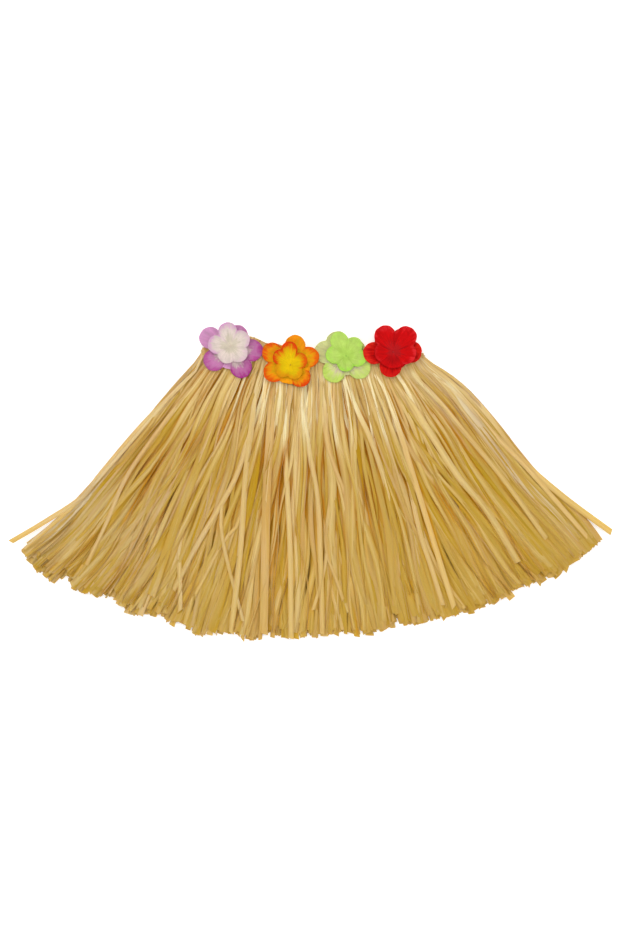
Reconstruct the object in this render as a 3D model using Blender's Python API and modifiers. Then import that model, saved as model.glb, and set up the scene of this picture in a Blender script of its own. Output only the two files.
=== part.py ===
"""Grass skirt laid flat: raffia locks folded over an elastic waistband, with four two-layer cloth blossoms.

Metres, +Z up. The back panel lies on the surface at z = 0 and the front panel lies on the back one. The
waist is towards +Y, the hem towards -Y, and the locks fan out to both sides. The origin is on the underside,
in the middle of the back heading.

Each panel is an elastic band and one fringe. A fringe is a narrow heading that wraps over the band's top
edge, with a row of locks hanging from its outer side and another row from its inner side.
"""

import math
import random

import bmesh
import bpy
import numpy as np

# The waist, laid flat.
WAIST = 0.230
HEADING_HEIGHT = 0.016
HEADING_TAPER = 0.6  # share of the heading's height that is lost at the two sides
ELASTIC_HEIGHT = 0.0125
ELASTIC_WALL = 0.0015

# Locks and the heading they hang from.
WALL = 0.0012
SEAM = 0.0003
PANEL_GAP = 0.0004
LOCKS = 60
UNEVEN_CELLS = 0.28  # how far a lock's border strays, as a share of an even cell
FOLD_TURNS = (90.0, 30.0, -30.0, -90.0)  # degrees round the folded top edge
LOCK_ROWS = (0.12, 0.38, 0.70, 1.0)  # shares of a lock's length where it bends
LENGTH_SPREAD = 0.022
CUT_SLANT = 0.006

# The pile of four rows of locks, from the table up.
PILE_PITCH = 0.0047
SIDE_THINNING = 0.3
TIP_THINNING = 0.12
FLOOR_CLEARANCE = 0.0004
FULL_PILE_AT = 0.42  # share of the length where the pile has its full height
ROLL_SHARE = 0.55  # how the free room between two rows is split between roll and height
PATH_STEPS = 24
INNER_PHASE = 2.4  # sets a panel's inner locks into the outer ones' gaps

WAIST_COLUMNS = ("x", "top")
WAIST_LINE = (
    (-0.115, 0.0105),
    (-0.091, 0.0205),
    (-0.068, 0.0220),
    (-0.046, 0.0145),
    (-0.013, 0.0085),
    (0.028, 0.0060),
    (0.062, 0.0055),
    (0.091, 0.0055),
    (0.115, 0.0045),
)

# How the fan opens, from the left side at -1 to the right side at 1. The leans are from straight down,
# in degrees, at the root, half way and at the tip.
FAN_COLUMNS = ("across", "length", "root_lean", "mid_lean", "tip_lean")
FAN = (
    (-1.00, 0.288, -50.0, -39.0, -62.0),
    (-0.94, 0.290, -43.0, -38.0, -55.0),
    (-0.75, 0.301, -32.0, -31.0, -42.0),
    (-0.40, 0.295, -15.0, -16.0, -21.0),
    (0.00, 0.284, 0.0, 0.0, 0.0),
    (0.40, 0.277, 15.0, 16.0, 19.0),
    (0.75, 0.272, 34.0, 30.0, 40.0),
    (0.94, 0.268, 57.0, 36.0, 54.0),
    (1.00, 0.272, 74.0, 36.0, 62.0),
)

# Slow waves in the lean that bunch the locks: (degrees at the tip, waves from side to side).
BUNCHING = ((1.3, 1.3), (0.6, 3.1), (0.26, 7.7))

# Each panel's two rows of locks, by their place in the pile.
PANEL_COLUMNS = ("panel", "outer", "inner", "seed")
PANELS = (
    ("back", 0, 1, 11),
    ("front", 3, 2, 23),
)

# A blossom's petals are pairs of (degrees, reach). One that reaches less far than the cut length stands up.
BLOSSOM_COLUMNS = ("name", "x", "y", "petal_radius", "cut_length", "cup", "storey", "colour", "petals")
BLOSSOMS = (
    (
        "purple_blossom_lower", -0.0861, 0.0090, 0.0115, 0.0350, 0.0040, 0, (0.58, 0.26, 0.58, 1.0),
        ((-4, 0.0336), (64, 0.0265), (152, 0.0360), (214, 0.0324), (299, 0.0333)),
    ),
    (
        "purple_blossom_upper", -0.0871, 0.0122, 0.0100, 0.0240, 0.0085, 1, (0.82, 0.76, 0.72, 1.0),
        ((28, 0.0225), (98, 0.0244), (175, 0.0230), (252, 0.0190), (320, 0.0215)),
    ),
    (
        "orange_blossom_lower", -0.0236, -0.0067, 0.0108, 0.0320, 0.0084, 0, (0.88, 0.28, 0.04, 1.0),
        ((20, 0.0312), (76, 0.0307), (149, 0.0330), (206, 0.0303), (307, 0.0278)),
    ),
    (
        "orange_blossom_upper", -0.0236, -0.0077, 0.0084, 0.0240, 0.0090, 1, (0.90, 0.62, 0.04, 1.0),
        ((24, 0.0185), (94, 0.0242), (143, 0.0210), (212, 0.0175), (300, 0.0165)),
    ),
    (
        "green_blossom_lower", 0.0326, -0.0014, 0.0120, 0.0320, 0.0010, 0, (0.66, 0.78, 0.50, 1.0),
        ((44, 0.0260), (112, 0.0305), (159, 0.0325), (231, 0.0287), (330, 0.0302)),
    ),
    (
        "green_blossom_upper", 0.0347, 0.0017, 0.0093, 0.0240, 0.0040, 1, (0.47, 0.80, 0.24, 1.0),
        ((53, 0.0223), (115, 0.0269), (175, 0.0215), (266, 0.0165), (350, 0.0212)),
    ),
    (
        "red_blossom_lower", 0.0840, 0.0049, 0.0116, 0.0310, 0.0085, 0, (0.70, 0.02, 0.03, 1.0),
        ((3, 0.0299), (56, 0.0280), (120, 0.0270), (181, 0.0315), (259, 0.0260)),
    ),
    (
        "red_blossom_upper", 0.0840, 0.0059, 0.0115, 0.0300, 0.0110, 1, (0.74, 0.03, 0.04, 1.0),
        ((49, 0.0312), (118, 0.0294), (185, 0.0195), (265, 0.0150), (352, 0.0240)),
    ),
)
BLOSSOM_SIDES = 40
BLOSSOM_RINGS = (0.32, 0.66, 1.0)
BLOSSOM_WALL = 0.001
NOTCH_REACH = 0.5  # how far in the outline may go between two petals, as a share of the cut length
STOREY_RISE = 0.0018
CUP_POWER = 1.6
PETAL_CURL = 0.0012
UPTURN = 0.3  # rise of a petal's end for each metre that it reaches less

STRAW = (0.76, 0.56, 0.24, 1.0)
ELASTIC_COLOUR = (0.80, 0.68, 0.45, 1.0)


def clear_scene():
    for old in list(bpy.data.objects):
        bpy.data.objects.remove(old)


def make_material(name, colour, roughness):
    material = bpy.data.materials.new(name)
    material.use_nodes = True
    shader = material.node_tree.nodes["Principled BSDF"]
    shader.inputs["Base Color"].default_value = colour
    shader.inputs["Roughness"].default_value = roughness
    shader.inputs["Metallic"].default_value = 0.0
    return material


def add_object(name, bm, material, collection, parent):
    mesh = bpy.data.meshes.new(name)
    bm.to_mesh(mesh)
    bm.free()
    mesh.materials.append(material)
    made = bpy.data.objects.new(name, mesh)
    collection.objects.link(made)
    made.parent = parent
    return made


def thicken(made, wall):
    solidify = made.modifiers.new("wall", "SOLIDIFY")
    solidify.thickness = wall
    solidify.offset = 0.0


def column(rows, names, name):
    return [row[names.index(name)] for row in rows]


def smooth_step(share):
    share = min(1.0, max(0.0, share))
    return share * share * (3.0 - 2.0 * share)


def waist_top(x):
    """Height in Y of the waist's top edge, eased between the table's rows."""
    places = column(WAIST_LINE, WAIST_COLUMNS, "x")
    tops = column(WAIST_LINE, WAIST_COLUMNS, "top")
    right = min(max(int(np.searchsorted(places, x)), 1), len(places) - 1)
    share = (x - places[right - 1]) / (places[right] - places[right - 1])
    return tops[right - 1] + (tops[right] - tops[right - 1]) * smooth_step(share)


def fan(across, name):
    return float(np.interp(across, column(FAN, FAN_COLUMNS, "across"), column(FAN, FAN_COLUMNS, name)))


def heading_height(across):
    return HEADING_HEIGHT * (1.0 - HEADING_TAPER * abs(across) ** 6)


def heading_levels():
    """Mid-wall height of each row's heading: back outer, back inner, front inner, front outer."""
    around_elastic = WALL + 2 * SEAM + ELASTIC_WALL
    back_outer = WALL / 2
    back_inner = back_outer + around_elastic
    front_inner = back_inner + WALL + PANEL_GAP
    return back_outer, back_inner, front_inner, front_inner + around_elastic


def lean(across, share, phase):
    """Lean in radians, a curve through the fan's three leans, plus the row's own bunching."""
    root, mid, tip = (fan(across, name) for name in ("root_lean", "mid_lean", "tip_lean"))
    rest = 1 - share
    degrees = root * rest * (rest - share) + 4 * mid * share * rest + tip * share * (share - rest)
    for size, waves in BUNCHING:
        degrees += share * size * math.sin(math.pi * waves * across + phase * waves)
    return math.radians(degrees)


def lock_path(across, phase):
    """Points down one border between two locks, in X and Y, evenly spaced along its length."""
    x = across * WAIST / 2
    y = waist_top(x) - heading_height(across)
    step = fan(across, "length") / PATH_STEPS
    points = [(x, y)]
    for index in range(PATH_STEPS):
        angle = lean(across, (index + 0.5) / PATH_STEPS, phase)
        x += step * math.sin(angle)
        y -= step * math.cos(angle)
        points.append((x, y))
    return np.array(points)


def along(path, share):
    """Point at a share of the path's length. A share over 1 runs straight on."""
    places = np.linspace(0.0, 1.0, len(path))
    inside = np.array([np.interp(share, places, path[:, axis]) for axis in (0, 1)])
    return inside + max(0.0, share - 1.0) * PATH_STEPS * (path[-1] - path[-2])


def pile_level(level, across, share):
    """(mid-wall height of a row of locks, how far a lock may roll or rise from it)."""
    pitch = PILE_PITCH * (1 - SIDE_THINNING * across**4) * (1 - TIP_THINNING * smooth_step((share - 0.5) * 2))
    free = (pitch - WALL - PANEL_GAP) / 2
    piled = FLOOR_CLEARANCE + WALL / 2 + free + level * pitch
    grown = smooth_step(share / FULL_PILE_AT)
    return heading_levels()[level] * (1 - grown) + piled * grown, free * grown**2


def heading_profile(outer, inner, height):
    """Points down the outer side, round the fold and down the inner side: (distance below the top, z)."""
    middle, radius = (outer + inner) / 2, (outer - inner) / 2
    depth = abs(radius)
    fold = [
        (depth * (1 - math.cos(math.radians(turn))), middle + radius * math.sin(math.radians(turn)))
        for turn in FOLD_TURNS
    ]
    return [(height, outer), *fold, (height, inner)]


def cell_borders(dice):
    """Places of the borders between locks, from -1 to 1, unevenly spaced."""
    borders = [2 * index / LOCKS - 1 for index in range(LOCKS + 1)]
    for index in range(1, LOCKS):
        borders[index] += dice.uniform(-UNEVEN_CELLS, UNEVEN_CELLS) / LOCKS
    return borders


def grow_lock(bm, edge, paths, level, across, dice):
    """Extrudes one lock from the heading's edge, row by row, as a flat ribbon that rolls as it goes."""
    left = min(edge.verts, key=lambda vert: vert.co.x)
    roll, height = dice.uniform(-1, 1), dice.uniform(-1, 1)
    parting = dice.uniform(0.09, 0.19)
    stretch = 1 + dice.uniform(-LENGTH_SPREAD, LENGTH_SPREAD)
    slants = [dice.uniform(0, CUT_SLANT), dice.uniform(0, CUT_SLANT)]
    for share in LOCK_ROWS:
        grown = bmesh.ops.extrude_edge_only(bm, edges=[edge])["geom"]
        new = [item for item in grown if isinstance(item, bmesh.types.BMVert)]
        edge = bm.edges.get(new)
        left, right = sorted(new, key=lambda vert: (vert.co - left.co).length)
        level_height, free = pile_level(level, across, share)
        inset = parting * min(1.0, 0.35 + share)
        cuts = [slant if share == 1.0 else 0.0 for slant in slants]
        ends = [along(path, share * stretch - cut) for path, cut in zip(paths, cuts)]
        for vert, part, side in ((left, inset, 1), (right, 1 - inset, -1)):
            x, y = ends[0] * (1 - part) + ends[1] * part
            rise = (1 - ROLL_SHARE) * height + ROLL_SHARE * roll * side * math.cos(3 * share)
            vert.co = (x, y, level_height + free * rise)


def runs_across(edge, z):
    """True for an edge that lies at this height and runs from side to side."""
    one, other = (vert.co for vert in edge.verts)
    return max(abs(one.z - z), abs(other.z - z)) < WALL / 10 < abs(one.x - other.x)


def make_fringe(name, borders, outer, inner, seed, material, collection, parent):
    """One panel's heading, a grid bent over the elastic's top edge, and the locks that hang from it."""
    dice = random.Random(seed)
    levels = heading_levels()
    bm = bmesh.new()
    profile_rows = len(FOLD_TURNS) + 2
    bmesh.ops.create_grid(bm, x_segments=LOCKS, y_segments=profile_rows - 1, size=1.0)
    for vert in bm.verts:
        across = borders[round((vert.co.x + 1) / 2 * LOCKS)]
        row = round((vert.co.y + 1) / 2 * (profile_rows - 1))
        x = across * WAIST / 2
        below, z = heading_profile(levels[outer], levels[inner], heading_height(across))[row]
        vert.co = (x, waist_top(x) - below, z)
    for level, phase in ((outer, seed), (inner, seed + INNER_PHASE)):
        paths = [lock_path(across, phase) for across in borders]
        edges = [edge for edge in bm.edges if edge.is_boundary and runs_across(edge, levels[level])]
        edges.sort(key=lambda edge: edge.verts[0].co.x + edge.verts[1].co.x)
        for index, edge in enumerate(edges):
            across = (borders[index] + borders[index + 1]) / 2
            grow_lock(bm, edge, (paths[index], paths[index + 1]), level, across, dice)
    bmesh.ops.recalc_face_normals(bm, faces=bm.faces[:])
    thicken(add_object(name, bm, material, collection, parent), WALL)


def make_elastic(name, borders, z, material, collection, parent):
    """One panel of the elastic band, a flat strip that follows the waist inside the folded heading."""
    bm = bmesh.new()
    bmesh.ops.create_grid(bm, x_segments=LOCKS, y_segments=1, size=1.0)
    fold_depth = (ELASTIC_WALL + WALL) / 2 + 2 * SEAM
    for vert in bm.verts:
        across = borders[round((vert.co.x + 1) / 2 * LOCKS)]
        x = across * WAIST / 2
        height = min(ELASTIC_HEIGHT, heading_height(across) - fold_depth)
        below = fold_depth + (height if vert.co.y < 0 else 0.0)
        vert.co = (x, waist_top(x) - below, z)
    thicken(add_object(name, bm, material, collection, parent), ELASTIC_WALL)


def petal_at(degrees, petals, petal_radius, notch):
    """(the outline's distance from the middle, the petal's reach, how far off its midline, from 0 to 1)."""
    best = (notch, petals[0][1], 1.0)
    for turn, reach in petals:
        off = math.radians((degrees - turn + 180) % 360 - 180)
        middle = reach - petal_radius
        aside = middle * math.sin(off)
        if math.cos(off) > 0 and abs(aside) < petal_radius:
            edge = middle * math.cos(off) + math.sqrt(petal_radius**2 - aside**2)
            if edge > best[0]:
                best = (edge, reach, abs(aside) / petal_radius)
    return best


def make_blossom(blossom, collection, parent):
    """A stamped cloth blossom: a disc of rings pressed into a cup with five round petals."""
    cut_length, cup = blossom["cut_length"], blossom["cup"]
    bm = bmesh.new()
    bmesh.ops.create_circle(bm, cap_ends=True, cap_tris=True, segments=BLOSSOM_SIDES, radius=BLOSSOM_RINGS[0])
    for ring in BLOSSOM_RINGS[1:]:
        rim = [edge for edge in bm.edges if edge.is_boundary]
        grown = bmesh.ops.extrude_edge_only(bm, edges=rim)["geom"]
        new = [item for item in grown if isinstance(item, bmesh.types.BMVert)]
        size = ring / new[0].co.xy.length
        for vert in new:
            vert.co.xy *= size
    for vert in bm.verts:
        ring = vert.co.xy.length
        degrees = math.degrees(math.atan2(vert.co.y, vert.co.x))
        notch = NOTCH_REACH * cut_length
        edge, reach, off = petal_at(degrees, blossom["petals"], blossom["petal_radius"], notch)
        upturn = UPTURN * (cut_length - reach)
        vert.co.xy *= edge
        vert.co.z = cup * (ring * edge / cut_length) ** CUP_POWER + ring**2 * (PETAL_CURL * off**2 + upturn)
    bmesh.ops.recalc_face_normals(bm, faces=bm.faces[:])
    cloth = make_material(blossom["name"], blossom["colour"], 0.7)
    made = add_object(blossom["name"], bm, cloth, collection, parent)
    thicken(made, BLOSSOM_WALL)
    seat = heading_levels()[-1] + WALL / 2 + SEAM + BLOSSOM_WALL / 2
    made.location = (blossom["x"], blossom["y"], seat + blossom["storey"] * STOREY_RISE)


def main():
    clear_scene()
    skirt = bpy.data.collections.new("grass_skirt")
    bpy.context.scene.collection.children.link(skirt)
    holder = bpy.data.objects.new("skirt", None)
    skirt.objects.link(holder)
    straw = make_material("straw", STRAW, 0.45)
    elastic = make_material("elastic", ELASTIC_COLOUR, 0.8)
    levels = heading_levels()
    for row in PANELS:
        panel = dict(zip(PANEL_COLUMNS, row))
        outer, inner, seed = panel["outer"], panel["inner"], panel["seed"]
        borders = cell_borders(random.Random(panel["panel"]))
        make_fringe("grass_" + panel["panel"], borders, outer, inner, seed, straw, skirt, holder)
        middle = (levels[outer] + levels[inner]) / 2
        make_elastic("elastic_" + panel["panel"], borders, middle, elastic, skirt, holder)
    for row in BLOSSOMS:
        make_blossom(dict(zip(BLOSSOM_COLUMNS, row)), skirt, holder)


main()
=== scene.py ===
import math

import bmesh
import bpy
import numpy as np
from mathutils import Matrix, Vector


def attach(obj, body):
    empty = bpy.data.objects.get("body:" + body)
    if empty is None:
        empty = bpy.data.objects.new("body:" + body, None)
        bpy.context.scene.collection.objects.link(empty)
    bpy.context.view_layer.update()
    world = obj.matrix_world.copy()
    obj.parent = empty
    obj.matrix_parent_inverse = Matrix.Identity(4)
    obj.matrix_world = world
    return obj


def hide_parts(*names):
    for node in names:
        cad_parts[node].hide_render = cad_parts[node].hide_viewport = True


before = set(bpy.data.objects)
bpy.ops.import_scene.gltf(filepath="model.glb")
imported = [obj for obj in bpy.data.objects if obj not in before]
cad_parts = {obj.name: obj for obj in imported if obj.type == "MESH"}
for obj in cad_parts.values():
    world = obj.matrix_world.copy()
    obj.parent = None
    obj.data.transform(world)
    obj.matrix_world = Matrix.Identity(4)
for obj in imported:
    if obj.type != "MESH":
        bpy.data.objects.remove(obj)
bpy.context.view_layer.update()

scene = bpy.context.scene
tau = 2 * math.pi

# The skirt in metres, as the frame has it. Levels are the mid heights of the folded strands at the waist.
skirt = {
    "waist": 0.230,
    "headingHeight": 0.016,
    "headingTaper": 0.6,
    "headingPower": 6,
    "elasticHeight": 0.0125,
    "elasticWall": 0.0012,
    "foldDepth": 0.00195,  # from the top of the fold down to the elastic
    "foldFree": 0.00042,  # how far a strand may stray from its row's middle in the fold
    "levels": (0.0006, 0.0039, 0.0055, 0.0088),  # back outer, back inner, front inner, front outer
    "pilePitch": 0.0047,
    "pileFloor": 0.0010,
    "pileFree": 0.00155,
    "pileLift": (0.0, 0.0006, 0.0016, 0.0),  # how far the inner rows swell up between the strands above
    "sideThinning": 0.3,
    "sidePower": 4,
    "tipThinning": 0.5,
    "tipSettling": 0.3,  # how much closer a row lies together towards its tips and at the two sides
    "fullPileAt": 0.42,
}

# Height of the waist's top edge: (x, top).
waistLine = (
    (-0.115, 0.0105),
    (-0.091, 0.0205),
    (-0.068, 0.0220),
    (-0.046, 0.0145),
    (-0.013, 0.0085),
    (0.028, 0.0060),
    (0.062, 0.0055),
    (0.091, 0.0055),
    (0.115, 0.0045),
)

# How the fan opens from left to right: (across, length, lean at the root and at each quarter down).
fan = (
    (-1.00, 0.277, -43.0, -37.5, -41.0, -44.0, -54.0),
    (-0.94, 0.284, -39.5, -35.5, -38.5, -41.0, -51.0),
    (-0.75, 0.301, -32.0, -30.0, -31.0, -35.0, -42.0),
    (-0.40, 0.295, -15.0, -15.0, -16.0, -18.0, -21.0),
    (0.00, 0.284, 0.0, 0.0, 0.0, 0.0, 0.0),
    (0.40, 0.276, 15.0, 15.2, 16.0, 17.2, 19.0),
    (0.75, 0.269, 34.0, 30.3, 30.0, 33.3, 39.0),
    (0.94, 0.264, 48.0, 39.0, 34.0, 44.0, 43.0),
    (1.00, 0.264, 66.0, 42.0, 37.5, 49.5, 33.0),
)

# Where the hem was cut long or short: (x of the strand's end, longer by).
hemTrim = (
    (-0.310, 0.000),
    (-0.288, 0.004),
    (-0.272, 0.004),
    (-0.264, -0.014),
    (-0.256, -0.002),
    (-0.236, -0.008),
    (-0.208, -0.007),
    (-0.190, 0.001),
    (-0.160, -0.008),
    (-0.150, 0.000),
    (-0.140, -0.008),
    (-0.128, 0.001),
    (-0.087, -0.005),
    (-0.066, 0.001),
    (-0.056, -0.005),
    (0.000, -0.002),
    (0.130, -0.003),
    (0.190, 0.001),
    (0.223, -0.004),
    (0.240, 0.003),
    (0.262, 0.001),
    (0.310, 0.000),
)

# Where changes set in, along a strand or out towards the two sides: (start, how fast the change rises).
ramps = {
    "tipThinning": (0.5, 2),
    "tipSettling": (0.35, 2),
    "sideSettling": (0.72, 5),
    "leaning": (0.0, 4),
    "sideHold": (0.86, 7),
    "sideHem": (0.8, 6),
    "placedRise": (-0.1, 10),
    "placedLift": (0.35, 2),
    "sideWidening": (0.8, 6),
    "hemWidening": (0.45, 2),
    "tipUnrolling": (0.3, 2),
    "rootRolling": (0.0, 14),
    "rootRollEnd": (0.1, 3.5),
    "sideDarkening": (0.15, 2.5),
    "sideSheenFading": (0.4, 2.5),
    # where the painted highlight and shade on the pleats below the heading come and go
    "rootPaintedSheen": (0.0, 30),
    "paintedSheenEnd": (0.08, 3),
    "hemOpening": (0.7, 4),
    "sideOpening": (0.84, 8),
    "hemFading": (0.6, 3),
    "leftPaling": (0.2, 2.5),
    "lowPaling": (0.35, 2.5),
    "rightPaling": (0.6, 3),
    "highPalingEnd": (0.2, 4),
}

# How many waves the slow random curves have from end to end of a strand.
cycles = {
    "bunching": (0.5, 1.1),
    "parting": (1.2, 2.0),
    "straying": (0.4, 0.9, 1.4),
    "waving": (3.2, 5.3),
    "weaving": (0.6, 1.4),
    "widthWaving": (1.3, 3.1),
    "rolling": (0.5, 1.3),
    "creasing": (0.8, 2.3),
}
cycleSpread = (0.7, 1.3)


def srgb(*levels):
    # 0 to 255 as a picker shows them, turned into Blender's linear colour
    linear = [(c / 255 / 12.92) if c <= 10 else ((c / 255 + 0.055) / 1.055) ** 2.4 for c in levels]
    return (*linear, 1.0)


def smooth(share):
    # an even start and end between 0 and 1
    share = np.clip(share, 0.0, 1.0)
    return share * share * (3 - 2 * share)


def rise(change, place):
    # how far one of the ramps above has risen at this place, from 0 to 1
    start, rate = ramps[change]
    return smooth((place - start) * rate)


def waistTop(x):
    places, tops = np.array(waistLine).T
    right = np.clip(np.searchsorted(places, x), 1, len(places) - 1)
    share = (x - places[right - 1]) / (places[right] - places[right - 1])
    return tops[right - 1] + (tops[right] - tops[right - 1]) * smooth(share)


def fanAt(across):
    # the length and the leans of the strands at these places
    table = np.array(fan).T
    return [np.interp(across, table[0], row) for row in table[1:]]


def headingHeight(across):
    return skirt["headingHeight"] * (1 - skirt["headingTaper"] * np.abs(across) ** skirt["headingPower"])


def pileHeight(level, across, share):
    # mid height of a row of strands, and how far a strand may stray from it
    pitch = skirt["pilePitch"] * (1 - skirt["sideThinning"] * across ** skirt["sidePower"])
    pitch = pitch * (1 - skirt["tipThinning"] * rise("tipThinning", share))
    free = skirt["pileFree"] * pitch / skirt["pilePitch"]
    settled = np.maximum(rise("tipSettling", share), rise("sideSettling", np.abs(across)))
    free = free * (1 - skirt["tipSettling"] * settled)
    grown = smooth(share / skirt["fullPileAt"])
    piled = skirt["pileFloor"] + free + level * pitch + skirt["pileLift"][level]
    middle = skirt["levels"][level] * (1 - grown) + piled * grown
    return middle, skirt["foldFree"] * (1 - grown) + free * grown


def smoothNoise(dice, count, shares, rates):
    # one slow wavy curve for each strand, from about -1 to 1
    total = 0
    for rate in rates:
        own = rate * dice.uniform(*cycleSpread, (count, 1))
        total = total + np.sin(tau * (own * shares[None, :] + dice.uniform(0, 1, (count, 1))))
    return total / len(rates) ** 0.5


def finishPiece(name, mesh, material, nodes, slotName):
    mesh.materials.append(material)
    piece = bpy.data.objects.new(name, mesh)
    scene.collection.objects.link(piece)
    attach(piece, "root")
    if nodes:
        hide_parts(*nodes)
    return piece


def meshFrom(bm, name):
    # a smooth mesh with its faces outwards
    bmesh.ops.recalc_face_normals(bm, faces=bm.faces[:])
    for face in bm.faces:
        face.smooth = True
    mesh = bpy.data.meshes.new(name)
    bm.to_mesh(mesh)
    bm.free()
    return mesh


def giveWall(piece, thickness):
    wall = piece.modifiers.new("wall", "SOLIDIFY")
    wall.thickness = thickness
    wall.offset = 0.0


ribbon = {
    "sides": 8,
    "foldRings": 7,
    "hangRings": 22,
    "wall": 0.00026,
    "lateral": (-1.0, -0.5, 0.0, 0.5, 1.0),
    "edgeCorners": (0, 2, 4, 6),  # where the film has a sharp edge or a crease
}
# Each of the ring's eight corners: (lateral place, side of the film), along the top and then back below.
ribbonCorners = ((0, 0), (1, 1), (2, 1), (3, 1), (4, 0), (3, -1), (2, -1), (1, -1))


def cornerAt(x, y):
    # which of the ring's corners this angle stands for
    return np.round(np.arctan2(x, y) / tau * ribbon["sides"]).astype(int) % ribbon["sides"]


def ribbonTemplate():
    # a closed eight-sided tube, one unit long for each ring: angle and height say which corner a vertex is
    rings = ribbon["foldRings"] + ribbon["hangRings"]
    bm = bmesh.new()
    made = bmesh.ops.create_circle(bm, cap_ends=True, segments=ribbon["sides"], radius=1.0)
    face = made["verts"][0].link_faces[0]
    for ring in range(1, rings):
        grown = bmesh.ops.extrude_face_region(bm, geom=[face])["geom"]
        if ring > 1:
            bmesh.ops.delete(bm, geom=[face], context="FACES_ONLY")
        face = next(item for item in grown if isinstance(item, bmesh.types.BMFace))
        bmesh.ops.translate(bm, verts=face.verts[:], vec=(0, 0, 1))
    for edge in bm.edges:
        one, other = (vert.co for vert in edge.verts)
        if abs(one.z - other.z) > 0.5:
            edge.smooth = cornerAt(one.x, one.y) not in ribbon["edgeCorners"]
        else:
            edge.smooth = 0.5 < one.z < rings - 1.5  # sharp only round the two ends
    return meshFrom(bm, "ribbonTemplate")


def readTemplate(template):
    # which ring and which corner each vertex is
    places = np.zeros(len(template.vertices) * 3)
    template.vertices.foreach_get("co", places)
    places = places.reshape(-1, 3)
    return np.round(places[:, 2]).astype(int), cornerAt(places[:, 0], places[:, 1])


def addMark(mesh, name, values):
    layer = mesh.attributes.new(name, "FLOAT", "POINT")
    layer.data.foreach_set("value", values.astype(np.float32).ravel())


def joinRibbons(name, template, rings, marks):
    # rings: strand by ring by corner points; marks: what the material reads, by strand, ring and corner
    count = len(rings)
    bm = bmesh.new()
    for _ in range(count):
        bm.from_mesh(template)
    mesh = bpy.data.meshes.new(name)
    bm.to_mesh(mesh)
    bm.free()
    ringOf, cornerOf = readTemplate(template)
    mesh.vertices.foreach_set("co", rings[:, ringOf, cornerOf].astype(np.float32).ravel())
    for mark, values in marks.items():
        values = values.reshape(*values.shape, *[1] * (3 - values.ndim))
        addMark(mesh, mark, np.broadcast_to(values, rings.shape[:3])[:, ringOf, cornerOf])
    lateral = np.array([ribbon["lateral"][place] for place, _ in ribbonCorners])
    addMark(mesh, "acrossStrand", np.tile(lateral[cornerOf], count))
    mesh.update()
    return mesh


def sweepRibbons(centres, sideways, halfWidth, roll, creases):
    # centres: strand by ring points; sideways: the flat direction; creases: each lateral place's height
    tangent = np.gradient(centres, axis=1)
    tangent /= np.linalg.norm(tangent, axis=2, keepdims=True)
    sideways = sideways - tangent * (sideways * tangent).sum(2, keepdims=True)
    sideways /= np.linalg.norm(sideways, axis=2, keepdims=True)
    outward = np.cross(tangent, sideways)
    flat = np.cos(roll)[..., None] * sideways + np.sin(roll)[..., None] * outward
    proud = -np.sin(roll)[..., None] * sideways + np.cos(roll)[..., None] * outward
    rings = []
    for place, side in ribbonCorners:
        out = halfWidth * ribbon["lateral"][place]
        up = halfWidth * creases[place] + side * ribbon["wall"] / 2
        rings.append(centres + flat * out[..., None] + proud * up[..., None])
    return np.stack(rings, axis=2)


foldShape = {
    "innerEnd": 0.007,  # how far the strand's hidden start lies below the top edge
    "turns": (-90, -40, 10, 60, 90),  # the bend over the top edge, in degrees
    "outerEnd": 0.55,  # where the heading lets the strand go, as a share of its height
    "headroom": (-0.0007, 0.0006),
}


def foldRoute(across, level, innerLevel, offset, headroom):
    # up the elastic's inner side, over its top edge and down to the foot of the heading
    outer, inner = skirt["levels"][level], skirt["levels"][innerLevel]
    middle, radius = (outer + inner) / 2, (outer - inner) / 2
    depth, facing = abs(radius), math.copysign(1, radius)
    x = across * skirt["waist"] / 2
    top = waistTop(x) + headroom
    route = [np.stack([x, top - foldShape["innerEnd"], inner - facing * offset], 1)]
    for turn in np.radians(foldShape["turns"]):
        reach = depth + offset
        y = top - depth + reach * np.cos(turn)
        z = middle + facing * reach * np.sin(turn)
        route.append(np.stack([x, y, z], 1))
    y = waistTop(x) - headingHeight(across) * foldShape["outerEnd"]
    route.append(np.stack([x, y, outer + facing * offset], 1))
    return np.stack(route, 1)


def smoothRoute(points, shares, stepsEach=24):
    # an even run along a smooth curve through these points
    fine = []
    ends = [points[0], *points, points[-1]]
    for before, start, end, after in zip(ends, ends[1:], ends[2:], ends[3:]):
        share = np.linspace(0, 1, stepsEach, endpoint=False)[:, None]
        before, start, end, after = (np.array(point) for point in (before, start, end, after))
        pull, push = (end - before) / 2, (after - start) / 2
        cubic = (2 * share**3 - 3 * share**2 + 1) * start + (share**3 - 2 * share**2 + share) * pull
        fine.append(cubic + (3 * share**2 - 2 * share**3) * end + (share**3 - share**2) * push)
    fine = np.concatenate([*fine, [points[-1]]])
    run = np.concatenate([[0], np.cumsum(np.linalg.norm(np.diff(fine, axis=0), axis=1))])
    return [np.interp(shares * run[-1], run, fine[:, axis]) for axis in (0, 1)]


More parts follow.
